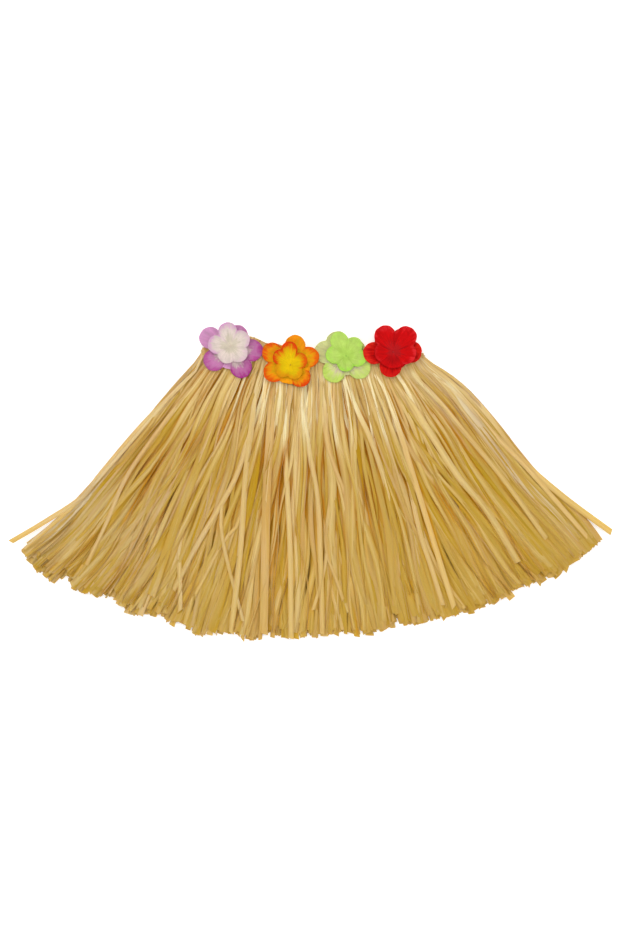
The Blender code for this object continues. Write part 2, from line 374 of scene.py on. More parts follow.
raffiaLook = {
    "halfWidth": (0.0018, 0.0038),
    "rootWidth": 0.0018,
    "openBy": 0.28,  # how far down a strand has opened from its root width to its full width
    "broadShare": 0.12,
    "broadBy": 1.35,
    "widthWaving": 0.14,
    "sideWidening": 0.1,
    "hemWidening": 0.16,
    "placeJitter": 0.42,
    "sideGathering": 0.07,  # strands lie closer together towards the two sides
    "clump": 3.6,
    "clumpJitter": 0.35,
    "bunching": 1.0,
    "parting": 2.5,  # how far clumps part and meet again along their way
    "straying": 2.4,
    "strayed": (0.35, 0.65),  # the share of straying at the root, and what comes on top down to the hem
    "leaning": 2.0,
    "waving": 0.6,
    "weaving": 0.4,
    "kinking": 3.0,
    "kinkRate": 9,
    "turnsAt": (0.2, 0.9),  # where along a strand kinks and twists come
    "wildShare": 0.05,
    "wildLean": 9.0,
    "wildPivot": 0.25,
    "wildStack": 0.95,
    "outHold": 3,  # how sharply strands near the two sides are kept from swerving out past them
    "outSlack": 0.1,
    "inHold": 0.75,
    "stackTurn": 0.381966,  # the step that sets neighbours apart in the thickness of their row
    "stackJitter": 0.12,
    "hemSpread": 0.0016,
    "hemClumps": 0.0036,
    "hemRange": (-0.012, 0.0045),
    "hemSeedStep": 100,
    "sideHem": 1.2,  # how much more uneven the hem is at the two sides
    "shortShare": 0.20,
    "shortBy": (0.006, 0.030),
    "longShare": 0.035,
    "longBy": (0.002, 0.0045),
    "evenFrom": 0.9,  # past this place across there are no short strands
    "cutSlant": 0.0011,
    "rolling": 0.55,
    "tipUnrolling": 0.6,
    "rootRolling": 0.5,  # pleats just below the heading
    "twistShare": 0.12,
    "twistBy": 1.3,
    "twistRate": 5,
    "creasing": 0.30,
    "creaseWaving": 0.3,
    "creaseAt": 0.5,
    "creased": (0.18, 0.82),  # the share of creasing at the root, and what an open strand has on top
    "valleys": (-1.3, -1, -0.7, 0.6),
    "floor": 0.0004,
    "tints": (0.6, 0.28, 0.2),  # spread, darkest, and how much lighter the upper strands are, a painted light on the top of the pile
    "sideDarkening": 0.24,
    "paintedSheens": (0.5, 0.4),  # painted highlight and shade: each strand's own, and shared by a clump
    "sideSheenFading": (0.8, 0.45),  # how much painted sheen the left side and the right side lose
    "filmShare": 0.0,
    "edgeFilmShare": 0.08,
    "edgeFrom": 0.93,
    "paling": (0.5, 0.6),  # how pale the film shows low on the left side, and the painted highlight high on the right side
    "hemOpening": 0.85,  # how much the painted shade deep in the pile fades near the hem
    "sideOpening": 0.9,  # and at the two sides
    "placedTop": 1.25,
    "placedLift": 0.0024,
    "placedOpening": (0.45, 0.55),
    "placedRolling": 0.3,
    "placed": (),
}
# Single strands laid across the front, listed one by one. Each comes up from its depth in the row to the top
# at this share of its length, and its route below the heading is a list of (x, y).
strandColumns = ("across", "depth", "risesAt", "halfWidth", "tint", "warmth", "film", "route")
placedStrands = [dict(zip(strandColumns, values)) for values in (
    (-0.995, 0.9, 0, 0.0026, 0.79, 0.9, 0,
     ((-0.1745, -0.0655), (-0.2215, -0.1205), (-0.2430, -0.1470), (-0.2810, -0.1720), (-0.3175, -0.1935))),
    (-0.985, 0.9, 0, 0.0020, 0.84, 0.9, 0.5,
     ((-0.1395, -0.0290), (-0.1760, -0.0710), (-0.2240, -0.1260), (-0.2495, -0.1540), (-0.3030, -0.2010))),
    (-0.45, -0.6, 0.4, 0.0027, 0.89, 1, 0,
     ((-0.0640, -0.060), (-0.0798, -0.1232), (-0.1186, -0.1915), (-0.1460, -0.2440))),
    (-0.35, -0.7, 0.62, 0.0018, 0.89, 0.8, 0,
     ((-0.0560, -0.090), (-0.0767, -0.1695), (-0.0935, -0.1926), (-0.1239, -0.2493))),
    (-0.52, -0.6, 0.58, 0.0019, 0.94, 0.8, 0,
     ((-0.0860, -0.100), (-0.0955, -0.1569), (-0.0935, -0.1970), (-0.0735, -0.2765))),
    (-0.7, -0.8, 0.86, 0.0026, 0.94, 0.9, 0,
     ((-0.1180, -0.100), (-0.1390, -0.1900), (-0.1397, -0.2335), (-0.1397, -0.2660))),
    (-0.84, -0.6, 0.34, 0.0021, 0.79, 1, 0,
     ((-0.1500, -0.060), (-0.1943, -0.1233), (-0.2163, -0.1726), (-0.2380, -0.2180))),
    (-0.6, 0.4, 0.05, 0.0044, 0.49, 0.5, 0,
     ((-0.0850, -0.020), (-0.0955, -0.0393), (-0.1165, -0.1023), (-0.1420, -0.1700), (-0.1700, -0.2500))),
    (-0.375, 0.7, 0, 0.0044, 0.69, 0.9, 0,
     ((-0.0440, -0.028), (-0.0450, -0.080), (-0.0480, -0.130), (-0.0500, -0.200), (-0.0520, -0.2900))),
    (-0.43, 0.9, 0, 0.0030, 0.99, 0.6, 0,
     ((-0.0590, -0.030), (-0.0640, -0.070), (-0.0700, -0.120), (-0.0760, -0.200), (-0.0860, -0.2890))),
    (-0.24, 0.9, 0, 0.0028, 1.04, 0.7, 0,
     ((-0.0290, -0.040), (-0.0295, -0.080), (-0.0280, -0.120), (-0.0240, -0.200), (-0.0230, -0.2950))),
    (0.03, -0.6, 0.78, 0.0019, 0.89, 0.9, 0,
     ((0.0080, -0.100), (0.0140, -0.1900), (0.0105, -0.2283), (0.0000, -0.2650))),
    (0.08, -0.6, 0.7, 0.0020, 0.79, 0.9, 0,
     ((0.0090, -0.090), (0.0126, -0.1968), (0.0225, -0.2280), (0.0315, -0.2545))),
    (-0.08, 0.6, 0.2, 0.0028, 0.84, 0.8, 0,
     ((-0.0110, -0.0450), (-0.0040, -0.0980), (0.0050, -0.1500), (0.0080, -0.2200), (0.0100, -0.2900))),
    (0.1, -0.4, 0.36, 0.0022, 0.79, 0.9, 0,
     ((0.0140, -0.080), (0.0220, -0.1130), (0.0420, -0.1620), (0.0651, -0.2125))),
    (0.26, 0.6, 0, 0.0026, 0.99, 0.7, 0,
     ((0.0380, -0.0340), (0.0480, -0.0590), (0.0600, -0.0850), (0.0780, -0.1400), (0.0960, -0.2180))),
    (0.5, 0.6, 0, 0.0028, 1.07, 0.7, 0,
     ((0.0680, -0.0220), (0.0780, -0.0400), (0.0920, -0.0820), (0.1160, -0.1600), (0.1480, -0.2620))),
    (0.5, -0.6, 0.6, 0.0024, 0.97, 1, 0,
     ((0.0900, -0.090), (0.1113, -0.1810), (0.1240, -0.2200), (0.1365, -0.2598))),
    (0.62, 0.5, 0.3, 0.0036, 0.97, 0.6, 0,
     ((0.1000, -0.0450), (0.1200, -0.0750), (0.1520, -0.1240), (0.1820, -0.1600), (0.2150, -0.2150))),
    (0.985, 0.9, 0, 0.0020, 0.97, 0.9, 0.3,
     ((0.1420, -0.0260), (0.1680, -0.0540), (0.1940, -0.0860), (0.2420, -0.1350))),
    (0.995, 0.9, 0, 0.0032, 0.84, 0.7, 0,
     ((0.1690, -0.0450), (0.2160, -0.1045), (0.2600, -0.1440), (0.3135, -0.1835))),
    (0.9, -0.2, 0.25, 0.0024, 0.97, 0.9, 0,
     ((0.1480, -0.0350), (0.1960, -0.0870), (0.2280, -0.1200), (0.2880, -0.1880))),
    (0.8, 0, 0.3, 0.0026, 0.92, 0.7, 0,
     ((0.1180, -0.0300), (0.1640, -0.0850), (0.2000, -0.1280), (0.2450, -0.1900))),
)]
# Deeper rows, and the lower strands in each row, are painted amber as painted shade deep in the pile.
raffiaRows = {
    "raffia_back_outer": {
        "level": 0, "foldsFrom": 1, "strands": 300, "seed": 11, "deepens": 0.3, "deep": 0.0,
        "nodes": ("grass_back",),
    },
    "raffia_back_inner": {
        "level": 1, "foldsFrom": 0, "strands": 280, "seed": 12, "deepens": 0.1, "deep": 0.55,
    },
    "raffia_front_inner": {
        "level": 2, "foldsFrom": 3, "strands": 270, "seed": 23, "deepens": 0.35, "deep": 0.10,
        "bunching": 2.0, "parting": 5.0, "leaning": 3.6, "wildShare": 0.12,
    },
    "raffia_front_outer": {
        "level": 3, "foldsFrom": 2, "strands": 285, "seed": 42, "deepens": 0.25, "deep": 0.0,
        "halfWidth": (0.0013, 0.0032), "rootWidth": 0.0017,
        "bunching": 1.8, "parting": 5.5, "straying": 3.2, "leaning": 4.6, "wildShare": 0.22,
        "placed": placedStrands, "nodes": ("grass_front",),
    },
}


def wavering(dice, row, what, count, shares):
    return row[what] * smoothNoise(dice, count, shares, cycles[what])


def someOf(dice, count, share):
    # true for this share of the strands, picked at random
    return dice.uniform(0, 1, (count, 1)) < share


def spreadStrands(dice, row):
    # where each strand leaves the heading, from -1 to 1, and the clump it belongs to
    order, jitter = np.arange(row["strands"]), row["placeJitter"]
    across = (order + 0.5 + dice.uniform(-jitter, jitter, len(order))) / len(order) * 2 - 1
    across = across + row["sideGathering"] * np.sin(math.pi * across)
    jitter = row["clumpJitter"]
    clump = np.floor(order / row["clump"] + dice.uniform(-jitter, jitter, len(order))).astype(int)
    return across, clump - clump.min()


def strandLeans(dice, row, across, clump, middles):
    # each strand's lean from straight down between its rings, in radians, and whether it runs wild
    count, clumps = len(across), clump.max() + 1
    leans = np.transpose(fanAt(across)[1:])
    lean = np.array([np.interp(middles, np.linspace(0, 1, leans.shape[1]), strand) for strand in leans])
    bunch = wavering(dice, row, "bunching", clumps, middles)[clump]
    bunch = bunch + wavering(dice, row, "parting", clumps, middles)[clump]
    atRoot, further = row["strayed"]
    stray = wavering(dice, row, "straying", count, middles) * (atRoot + further * middles)
    stray = stray + wavering(dice, row, "waving", count, middles)
    stray = stray + dice.normal(0, row["leaning"], (count, 1)) * rise("leaning", middles)
    kink = dice.normal(0, row["kinking"], (count, 1))
    kink = kink * smooth((middles - dice.uniform(*row["turnsAt"], (count, 1))) * row["kinkRate"])
    wild = someOf(dice, count, row["wildShare"]) * dice.normal(0, row["wildLean"], (count, 1))
    swerve = bunch + stray + kink + wild * (middles - row["wildPivot"])
    aside = np.abs(across)[:, None]
    outward = swerve * np.sign(across)[:, None] > 0
    heldOut = np.clip((1 - aside) * row["outHold"], row["outSlack"], 1)
    heldIn = 1 - row["inHold"] * rise("sideHold", aside)
    return np.radians(lean + swerve * np.where(outward, heldOut, heldIn)), wild[:, 0] != 0


def strandSteps(dice, row, across, clump):
    # each strand's even length, and how far apart its rings are once the hem is cut unevenly
    count, aside = len(across), np.abs(across)[:, None]
    length = fanAt(across)[0][:, None]
    hem = dice.normal(0, row["hemSpread"], (count, 1))
    hem = hem + dice.normal(0, row["hemClumps"], clump.max() + 1)[clump][:, None]
    short = someOf(dice, count, row["shortShare"]) * dice.uniform(*row["shortBy"], (count, 1))
    short = short * (aside < row["evenFrom"])
    hemDice = np.random.default_rng(row["seed"] + row["hemSeedStep"])
    longer = someOf(hemDice, count, row["longShare"]) * hemDice.uniform(*row["longBy"], (count, 1))
    hem = hem * (1 + row["sideHem"] * rise("sideHem", aside))
    return length, (length + np.clip(hem, *row["hemRange"]) - short + longer) / ribbon["hangRings"]


def layFlat(row, across, angle, length, step, shares):
    # x and y of each ring; the placed strands keep to their own routes, which sets their angles too
    roots = across * skirt["waist"] / 2
    ends = roots + (step * np.sin(angle)).sum(1)
    step = step * (1 + np.interp(ends, *np.array(hemTrim).T)[:, None] / length)
    x = roots[:, None] + np.cumsum(step * np.sin(angle), 1)
    y = (waistTop(roots) - headingHeight(across))[:, None] - np.cumsum(step * np.cos(angle), 1)
    for index, strand in enumerate(row["placed"]):
        start = (roots[index], waistTop(roots[index]) - skirt["headingHeight"])
        x[index], y[index] = smoothRoute((start, *strand["route"]), shares)
        angle[index] = np.arctan2(np.gradient(x[index]), -np.gradient(y[index]))
    return x, y


def pileUp(dice, row, across, wild, shares):
    # each ring's height, and each strand's place in its row, from -1 at the bottom to 1 at the top
    count, placed = len(across), row["placed"]
    order = np.arange(count) * row["stackTurn"] + dice.uniform(0, row["stackJitter"], count)
    stack = np.where(wild, row["wildStack"], order % 1 * 2 - 1)  # neighbours lie apart
    height, free = pileHeight(row["level"], across[:, None], shares)
    inPile = np.clip(stack[:, None] + wavering(dice, row, "weaving", count, shares) * shares, -1, 1)
    for index, strand in enumerate(placed):
        risen = rise("placedRise", shares - strand["risesAt"])
        inPile[index] = strand["depth"] + (row["placedTop"] - strand["depth"]) * risen
    z = height + free * inPile
    z[: len(placed)] += row["placedLift"] * rise("placedLift", shares) * (inPile[: len(placed)] > 1)
    return z, stack


def strandWidths(dice, row, across, along, opened):
    count, aside = len(across), np.abs(across)[:, None]
    halfWidth = dice.uniform(*row["halfWidth"], (count, 1))
    halfWidth = halfWidth * np.where(someOf(dice, count, row["broadShare"]), row["broadBy"], 1)
    rootWidth = row["rootWidth"] / halfWidth
    halfWidth = halfWidth * (rootWidth + (1 - rootWidth) * opened)
    wave = smoothNoise(dice, count, along, cycles["widthWaving"])
    halfWidth = halfWidth * (1 + row["widthWaving"] * opened * wave)
    halfWidth = halfWidth * (1 + row["sideWidening"] * rise("sideWidening", aside) * opened)
    return halfWidth * (1 + row["hemWidening"] * rise("hemWidening", along))


def strandRolls(dice, row, count, along, opened):
    # how far each ring is rolled about its own strand, in radians
    settled = 1 - row["tipUnrolling"] * rise("tipUnrolling", along)
    roll = wavering(dice, row, "rolling", count, along) * opened * settled
    pleat = dice.normal(0, row["rootRolling"], (count, 1)) * rise("rootRolling", along)
    roll = roll + pleat * (1 - rise("rootRollEnd", along))
    twisted = someOf(dice, count, row["twistShare"]) * dice.choice((-1, 1), (count, 1))
    twist = smooth((along - dice.uniform(*row["turnsAt"], (count, 1))) * row["twistRate"])
    return roll + twisted * row["twistBy"] * twist


def strandColours(dice, row, across, clump, stack):
    # tint, warmth, film and painted highlight and shade of each strand
    count, aside = len(across), np.abs(across)
    spread, darkest, byStack = row["tints"]
    # the upper strands are painted lighter: painted light on the top of the pile
    tint = spread * dice.uniform(0, 1, count) + darkest + byStack * stack
    warmth = dice.uniform(0, 1, count)
    tint -= row["sideDarkening"] * rise("sideDarkening", aside)
    filmShare = np.where(aside > row["edgeFrom"], row["edgeFilmShare"], row["filmShare"])
    film = (dice.uniform(0, 1, count) < filmShare).astype(float)
    own, shared = row["paintedSheens"]
    paintedSheen = dice.normal(0, own, count) + shared * dice.normal(0, 1, clump.max() + 1)[clump]
    paintedSheen *= 1 - np.where(across < 0, *row["sideSheenFading"]) * rise("sideSheenFading", aside)
    return tint, warmth, film, paintedSheen


def strandCreases(dice, row, count, along, opened):
    # how far each lateral place stands up, as a share of the half width
    valley = dice.choice(row["valleys"], (count, 1)) * row["creasing"]
    atRoot, further = row["creased"]
    creases = []
    for place in ribbon["lateral"]:
        wave = row["creaseWaving"] * row["creasing"] * smoothNoise(dice, count, along, cycles["creasing"])
        creases.append((valley * (abs(place) - row["creaseAt"]) + wave) * (atRoot + further * opened))
    return creases


def growRaffia(name, row):
    # one row of strands, folded over the elastic and fanned out below it
    dice = np.random.default_rng(row["seed"])
    count, placed, foldRings = row["strands"], row["placed"], ribbon["foldRings"]
    shares = (np.arange(ribbon["hangRings"]) + 1) / ribbon["hangRings"]
    across, clump = spreadStrands(dice, row)
    angle, wild = strandLeans(dice, row, across, clump, shares - 0.5 / ribbon["hangRings"])
    length, step = strandSteps(dice, row, across, clump)
    across[: len(placed)] = [strand["across"] for strand in placed]
    x, y = layFlat(row, across, angle, length, step, shares)
    z, stack = pileUp(dice, row, across, wild, shares)
    level, innerLevel = row["level"], row["foldsFrom"]
    offset = skirt["foldFree"] * stack * (1 if level > innerLevel else -1)
    fold = foldRoute(across, level, innerLevel, offset, dice.uniform(*foldShape["headroom"], count))
    centres = np.concatenate([fold, np.stack([x, y, z], 2)], 1)
    sideways = np.zeros_like(centres)
    sideways[:, :foldRings, 0] = 1
    sideways[:, foldRings:, 0] = np.cos(angle)
    sideways[:, foldRings:, 1] = np.sin(angle)

    along = np.concatenate([np.zeros(foldRings), shares])
    opened = smooth(along / row["openBy"])
    halfWidth = strandWidths(dice, row, across, along, opened)
    roll = strandRolls(dice, row, count, along, opened)
    tint, warmth, film, paintedSheen = strandColours(dice, row, across, clump, stack)
    creases = strandCreases(dice, row, count, along, opened)
    atRoot, further = row["placedOpening"]
    for index, strand in enumerate(placed):
        halfWidth[index] = strand["halfWidth"] * (atRoot + further * opened)
        roll[index] *= row["placedRolling"]
        tint[index], warmth[index], film[index] = strand["tint"], strand["warmth"], strand["film"]
    rings = sweepRibbons(centres, sideways, halfWidth, roll, creases)
    slant = dice.normal(0, row["cutSlant"], (count, 1))
    heading = np.stack([np.sin(angle[:, -1]), -np.cos(angle[:, -1]), np.zeros(count)], 1)
    lateral = np.array([ribbon["lateral"][place] for place, _ in ribbonCorners])
    rings[:, -1] += heading[:, None, :] * (slant * lateral)[..., None]
    lowest = rings[..., 2].min(2)
    rings[..., 2] += np.maximum(row["floor"] - lowest, 0)[..., None]

    steps = np.linalg.norm(np.diff(centres, axis=1), axis=2)
    inside = 1 - row["sideOpening"] * rise("sideOpening", np.abs(across)[:, None])
    # painted shade: lower strands and deeper rows turn amber
    depth = ((1 - stack) / 2 * row["deepens"] + row["deep"])[:, None]
    paleLeft = row["paling"][0] * rise("leftPaling", -across[:, None]) * rise("lowPaling", along)
    # a painted highlight high on the right side, laid on with the film colour
    rightPaintedSheen = row["paling"][1] * rise("rightPaling", across[:, None]) * (1 - rise("highPalingEnd", along))
    marks = {
        "alongStrand": np.concatenate([np.zeros((count, 1)), np.cumsum(steps, 1)], 1),
        "tint": tint,
        "warmth": warmth,
        # the film's own paleness, with a painted highlight high on the right side
        "film": film[:, None] + paleLeft + rightPaintedSheen,
        # painted highlight and painted shade, only near the root
        "paintedSheen": paintedSheen[:, None] * (1 - rise("paintedSheenEnd", along)) * rise("rootPaintedSheen", along),
        # painted shade deep in the pile, fading near the hem and at the sides
        "depth": depth * (1 - row["hemOpening"] * rise("hemOpening", along)) * inside,
        # painted shade in the gaps between strands, weaker at the two sides
        "paintedOcclusion": inside,
        "shareDown": np.broadcast_to(along, (count, len(along))),
    }
    print("raffia row", name, count, "strands")
    return rings, marks


class Nodes:
    # short calls for wiring a node tree
    def __init__(self, tree):
        self.tree = tree

    def add(self, kind, **settings):
        node = self.tree.nodes.new(kind)
        for key, value in settings.items():
            setattr(node, key, value)
        return node

    def wire(self, source, target):
        self.tree.links.new(source, target)

    def feed(self, socket, value):
        if isinstance(value, bpy.types.NodeSocket):
            self.wire(value, socket)
        else:
            socket.default_value = value

    def maths(self, operation, *values):
        node = self.add("ShaderNodeMath", operation=operation)
        for socket, value in zip(node.inputs, values):
            self.feed(socket, value)
        return node.outputs[0]

    def times(self, first, second):
        return self.maths("MULTIPLY", first, second)

    def mix(self, share, first, second):
        node = self.add("ShaderNodeMix", data_type="RGBA")
        self.feed(node.inputs["Factor"], share)
        self.feed(node.inputs["A"], first)
        self.feed(node.inputs["B"], second)
        return node.outputs["Result"]

    def between(self, value, low, high):
        # 0 at the low value and 1 at the high one, or the other way round where low is the larger
        node = self.add("ShaderNodeMapRange", interpolation_type="SMOOTHSTEP")
        self.feed(node.inputs["Value"], value)
        self.feed(node.inputs["From Min"], low)
        self.feed(node.inputs["From Max"], high)
        return node.outputs["Result"]

    def mark(self, name):
        return self.add("ShaderNodeAttribute", attribute_name=name).outputs["Fac"]

    def noise(self, vector, scale, detail):
        node = self.add("ShaderNodeTexNoise")
        self.wire(vector, node.inputs["Vector"])
        node.inputs["Scale"].default_value = scale
        node.inputs["Detail"].default_value = detail
        return node.outputs["Fac"]

    def vector(self, x, y, z):
        node = self.add("ShaderNodeCombineXYZ")
        for socket, value in zip(node.inputs, (x, y, z)):
            self.feed(socket, value)
        return node.outputs[0]

    def objectPlace(self):
        return self.add("ShaderNodeTexCoord").outputs["Object"]


def newGroup(name, inputs):
    # a group that puts out a colour, a roughness and a height; inputs are their names and first values
    group = bpy.data.node_groups.new(name, "ShaderNodeTree")
    colour, number = "NodeSocketColor", "NodeSocketFloat"
    for label, value in inputs.items():
        kind = colour if isinstance(value, tuple) else number
        group.interface.new_socket(label, in_out="INPUT", socket_type=kind).default_value = value
    for label, kind in (("Color", colour), ("Roughness", number), ("Height", number)):
        group.interface.new_socket(label, in_out="OUTPUT", socket_type=kind)
    tools = Nodes(group)
    return group, tools, tools.add("NodeGroupInput").outputs, tools.add("NodeGroupOutput").inputs


def newMaterial(name):
    material = bpy.data.materials.new(name)
    material.use_nodes = True
    tools = Nodes(material.node_tree)
    return material, tools, material.node_tree.nodes["Principled BSDF"].inputs


def groupMaterial(name, group, values, surface, relief):
    # a material whose colour, roughness and relief (depth and strength) come from a group
    material, tools, shader = newMaterial(name)
    node = tools.add("ShaderNodeGroup", node_tree=group)
    for label, value in values.items():
        node.inputs[label].default_value = value
    tools.wire(node.outputs["Color"], shader["Base Color"])
    tools.wire(node.outputs["Roughness"], shader["Roughness"])
    for label, value in surface.items():
        shader[label].default_value = value
    bump = tools.add("ShaderNodeBump")
    bump.inputs["Distance"].default_value, bump.inputs["Strength"].default_value = relief
    tools.wire(node.outputs["Height"], bump.inputs["Height"])
    tools.wire(bump.outputs["Normal"], shader["Normal"])
    return material


white = (1, 1, 1, 1)
raffiaColours = {
    "Olive": srgb(180, 140, 32),
    "Straw": srgb(193, 155, 73),
    "Tan": srgb(200, 160, 106),
    # Cream is partly the strands' own pale tone and partly painted highlight
    "Cream": srgb(236, 204, 142),
    # Amber and Honey are the painted shade in the gaps; Amber also darkens some fibres
    "Amber": srgb(190, 116, 0),
    "Honey": srgb(222, 158, 34),
    "Film": srgb(226, 212, 180),
    # painted highlight on the pleats below the heading
    "PaintedHighlight": srgb(250, 232, 180),
    # painted shade between those pleats, also laid on the cut tips
    "Shade": srgb(168, 128, 42),
}
raffiaSurface = {
    "Subsurface Weight": 0.25,
    "Subsurface Radius": (1.0, 0.62, 0.3),
    "Subsurface Scale": 0.0025,
    "Specular IOR Level": 0.12,
    "Specular Tint": (1.0, 0.7, 0.3, 1),
}
raffiaRelief = (0.00022, 0.8)

# Noises read on each strand: (stretch across it, stretch along it, scale, detail).
fibreNoises = {
    "fibres": (3.2, 14, 2.2, 3),
    "threads": (9.0, 30, 2.0, 2),
    "drift": (0.35, 9, 1.6, 1),
}
fibreLook = {
    "ownStep": 97.0,  # sets each strand's fibres apart from its neighbours'
    "hue": (0.75, 0.5),  # shares of the strand's warmth and of the drift
    "light": (0.8, 0.4),  # shares of the strand's tint and of its fibres
    "ridge": (0.75, 0.0),  # where the painted highlight along a strand's middle starts and is full
    "ridgeLight": 0.12,
    # strands are painted lighter near the root than lower down: a painted highlight where they rise from the
    # heading
    "rootLight": 0.26,
    "hemShade": -0.38,
    "hemShadeAt": (0.1, 0.45),
    "rim": (0.5, 1.15),  # where the painted shade at a strand's edges starts and is full
    "rimShare": 0.32,
    # how strongly the painted occlusion shade turns the gaps amber
    "paintedOcclusionShare": 0.9,
    "honeyAt": (0.4, 0.8),  # how far down the painted shade in the gaps turns from amber to honey
    "sheen": (3.0, -0.4),  # how the threads break up the painted sheen
    "filmAt": (0.42, 0.6),
    "filmShare": 0.36,
    "roughness": (0.2, 0.2),
    "relief": (0.6, 0.4),  # shares of fibres and threads
}
# Colours laid one over another, before and after the painted shade in the gaps between the strands:
# (colour, what it follows, where it starts, where it is full, its share).
bodyWashes = (
    ("Straw", "hue", 0.15, 0.62, 1.0),
    ("Tan", "hue", 0.62, 1.1, 1.0),
    # the light value is partly the strand's own tint and fibres, partly painted highlight and shade
    ("Cream", "light", 0.5, 1.1, 0.75),
    ("Amber", "fibres", 0.5, 0.3, 0.12),
)
topWashes = (
    ("Straw", "shareDown", 0.5, 0.95, 0.25),
    # darker cut tips: the strands' cut ends, partly painted shade
    ("Shade", "shareDown", 0.94, 1.0, 0.12),
    # painted highlight and painted shade on the pleats below the heading
    ("PaintedHighlight", "sheen", 0.1, 0.9, 0.85),
    ("Shade", "sheen", -0.25, -1.3, 0.6),
)


def raffiaFibreGroup():
    # lengthwise fibres and slow colour drift, read along and across each strand, with painted highlight and
    # shade laid over them
    group, tools, given, out = newGroup("raffiaFibre", {label: white for label in raffiaColours})
    look, maths, times = fibreLook, tools.maths, tools.times
    names = ("alongStrand", "acrossStrand", "tint", "warmth", "film", "paintedSheen", "depth", "paintedOcclusion", "shareDown")
    read = {name: tools.mark(name) for name in names}

    def lay(body, washes):
        for label, follows, start, full, share in washes:
            amount = times(tools.between(read[follows], start, full), share)
            body = tools.mix(amount, body, given[label])
        return body

    own = times(read["tint"], look["ownStep"])
    for name, (acrossBy, alongBy, scale, detail) in fibreNoises.items():
        place = tools.vector(times(read["acrossStrand"], acrossBy), times(read["alongStrand"], alongBy), own)
        read[name] = tools.noise(place, scale, detail)
    fibres, fromMiddle = read["fibres"], maths("ABSOLUTE", read["acrossStrand"])
    byWarmth, byDrift = look["hue"]
    read["hue"] = maths("ADD", times(read["warmth"], byWarmth), times(read["drift"], byDrift))
    byTint, byFibres = look["light"]
    light = maths("ADD", times(read["tint"], byTint), times(fibres, byFibres))
    # painted highlight along a strand's middle and near its root, painted shade lower down
    light = maths("MULTIPLY_ADD", tools.between(fromMiddle, *look["ridge"]), look["ridgeLight"], light)
    light = maths("ADD", light, look["rootLight"])
    shadeDown = tools.between(read["shareDown"], *look["hemShadeAt"])
    read["light"] = maths("MULTIPLY_ADD", shadeDown, look["hemShade"], light)
    # the painted sheen, broken up into threads
    read["sheen"] = times(read["paintedSheen"], maths("MULTIPLY_ADD", read["threads"], *look["sheen"]))

    body = lay(given["Olive"], bodyWashes)
    # painted shade at the strands' edges, deep in the pile and in the gaps
    deep = maths("MAXIMUM", times(tools.between(fromMiddle, *look["rim"]), look["rimShare"]), read["depth"])
    deep = maths("MAXIMUM", deep, times(read["paintedOcclusion"], look["paintedOcclusionShare"]))
    gapShadeColour = tools.mix(tools.between(read["shareDown"], *look["honeyAt"]), given["Amber"], given["Honey"])
    body = lay(tools.mix(deep, body, gapShadeColour), topWashes)
    pale = times(times(read["film"], tools.between(read["drift"], *look["filmAt"])), look["filmShare"])
    tools.wire(tools.mix(pale, body, given["Film"]), out["Color"])
    tools.wire(maths("MULTIPLY_ADD", fibres, *look["roughness"]), out["Roughness"])
    fibreShare, threadShare = look["relief"]
    tools.wire(maths("ADD", times(fibres, fibreShare), times(read["threads"], threadShare)), out["Height"])
    return group


# How far the painted occlusion shade in the gaps reaches, measured from the heap of strands.
heapLook = {
    "corner": (-0.35, -0.33),
    "size": (0.70, 0.40),
    "cell": 0.0015,
    "steps": 8,
    "reach": 1,  # cells to each side that count as beside a strand
    "hemFading": 0.55,
    "fromDepth": 0.0006,
    "fullDepth": 0.0036,
}


def heapCells(places):
    corner, cell = heapLook["corner"], heapLook["cell"]
    return tuple(((places[..., axis] - corner[axis]) / cell).astype(int) for axis in (0, 1))


def heapHeights(rows):
    # the highest and the lowest strand around each small cell of the floor
    cells = tuple(int(side / heapLook["cell"]) for side in heapLook["size"])
    top, bottom = np.full(cells, -1.0), np.full(cells, 1.0)
    for rings in rows:
        hang = rings[:, ribbon["foldRings"]:]
        for share in np.arange(heapLook["steps"]) / heapLook["steps"]:
            places = hang[:, :-1] * (1 - share) + hang[:, 1:] * share
            np.maximum.at(top, heapCells(places), places[..., 2])
            np.minimum.at(bottom, heapCells(places), places[..., 2])
    shifts = range(-heapLook["reach"], heapLook["reach"] + 1)
    for axis in (0, 1):
        top = np.max([np.roll(top, shift, axis) for shift in shifts], axis=0)
        bottom = np.min([np.roll(bottom, shift, axis) for shift in shifts], axis=0)
    return top, bottom


def paintedOcclusionShare(rings, top, bottom):
    # painted occlusion shade: 0 where a strand lies open to one side of the heap, 1 deep in a gap between
    # others
    cells = heapCells(rings)
    depth = np.minimum(top[cells] - rings[..., 2], rings[..., 2] - bottom[cells])
    paintedOcclusion = smooth((depth - heapLook["fromDepth"]) / (heapLook["fullDepth"] - heapLook["fromDepth"]))
    paintedOcclusion[:, : ribbon["foldRings"] + 1] = 0
    hem = np.arange(rings.shape[1]) / rings.shape[1]
    return paintedOcclusion * (1 - heapLook["hemFading"] * rise("hemFading", hem))[:, None]


def makeRaffia(group):
    material = groupMaterial("straw", group, raffiaColours, raffiaSurface, raffiaRelief)
    template = ribbonTemplate()
    grown = {name: growRaffia(name, {**raffiaLook, **row}) for name, row in raffiaRows.items()}
    heights = heapHeights([rings for rings, _ in grown.values()])
    pieces = []
    for name, (rings, marks) in grown.items():
        marks["paintedOcclusion"] = marks["paintedOcclusion"][:, :, None] * paintedOcclusionShare(rings, *heights)
        mesh = joinRibbons(name, template, rings, marks)
        pieces.append(finishPiece(name, mesh, material, raffiaRows[name].get("nodes", ()), "straw"))
    bpy.data.meshes.remove(template)
    return pieces


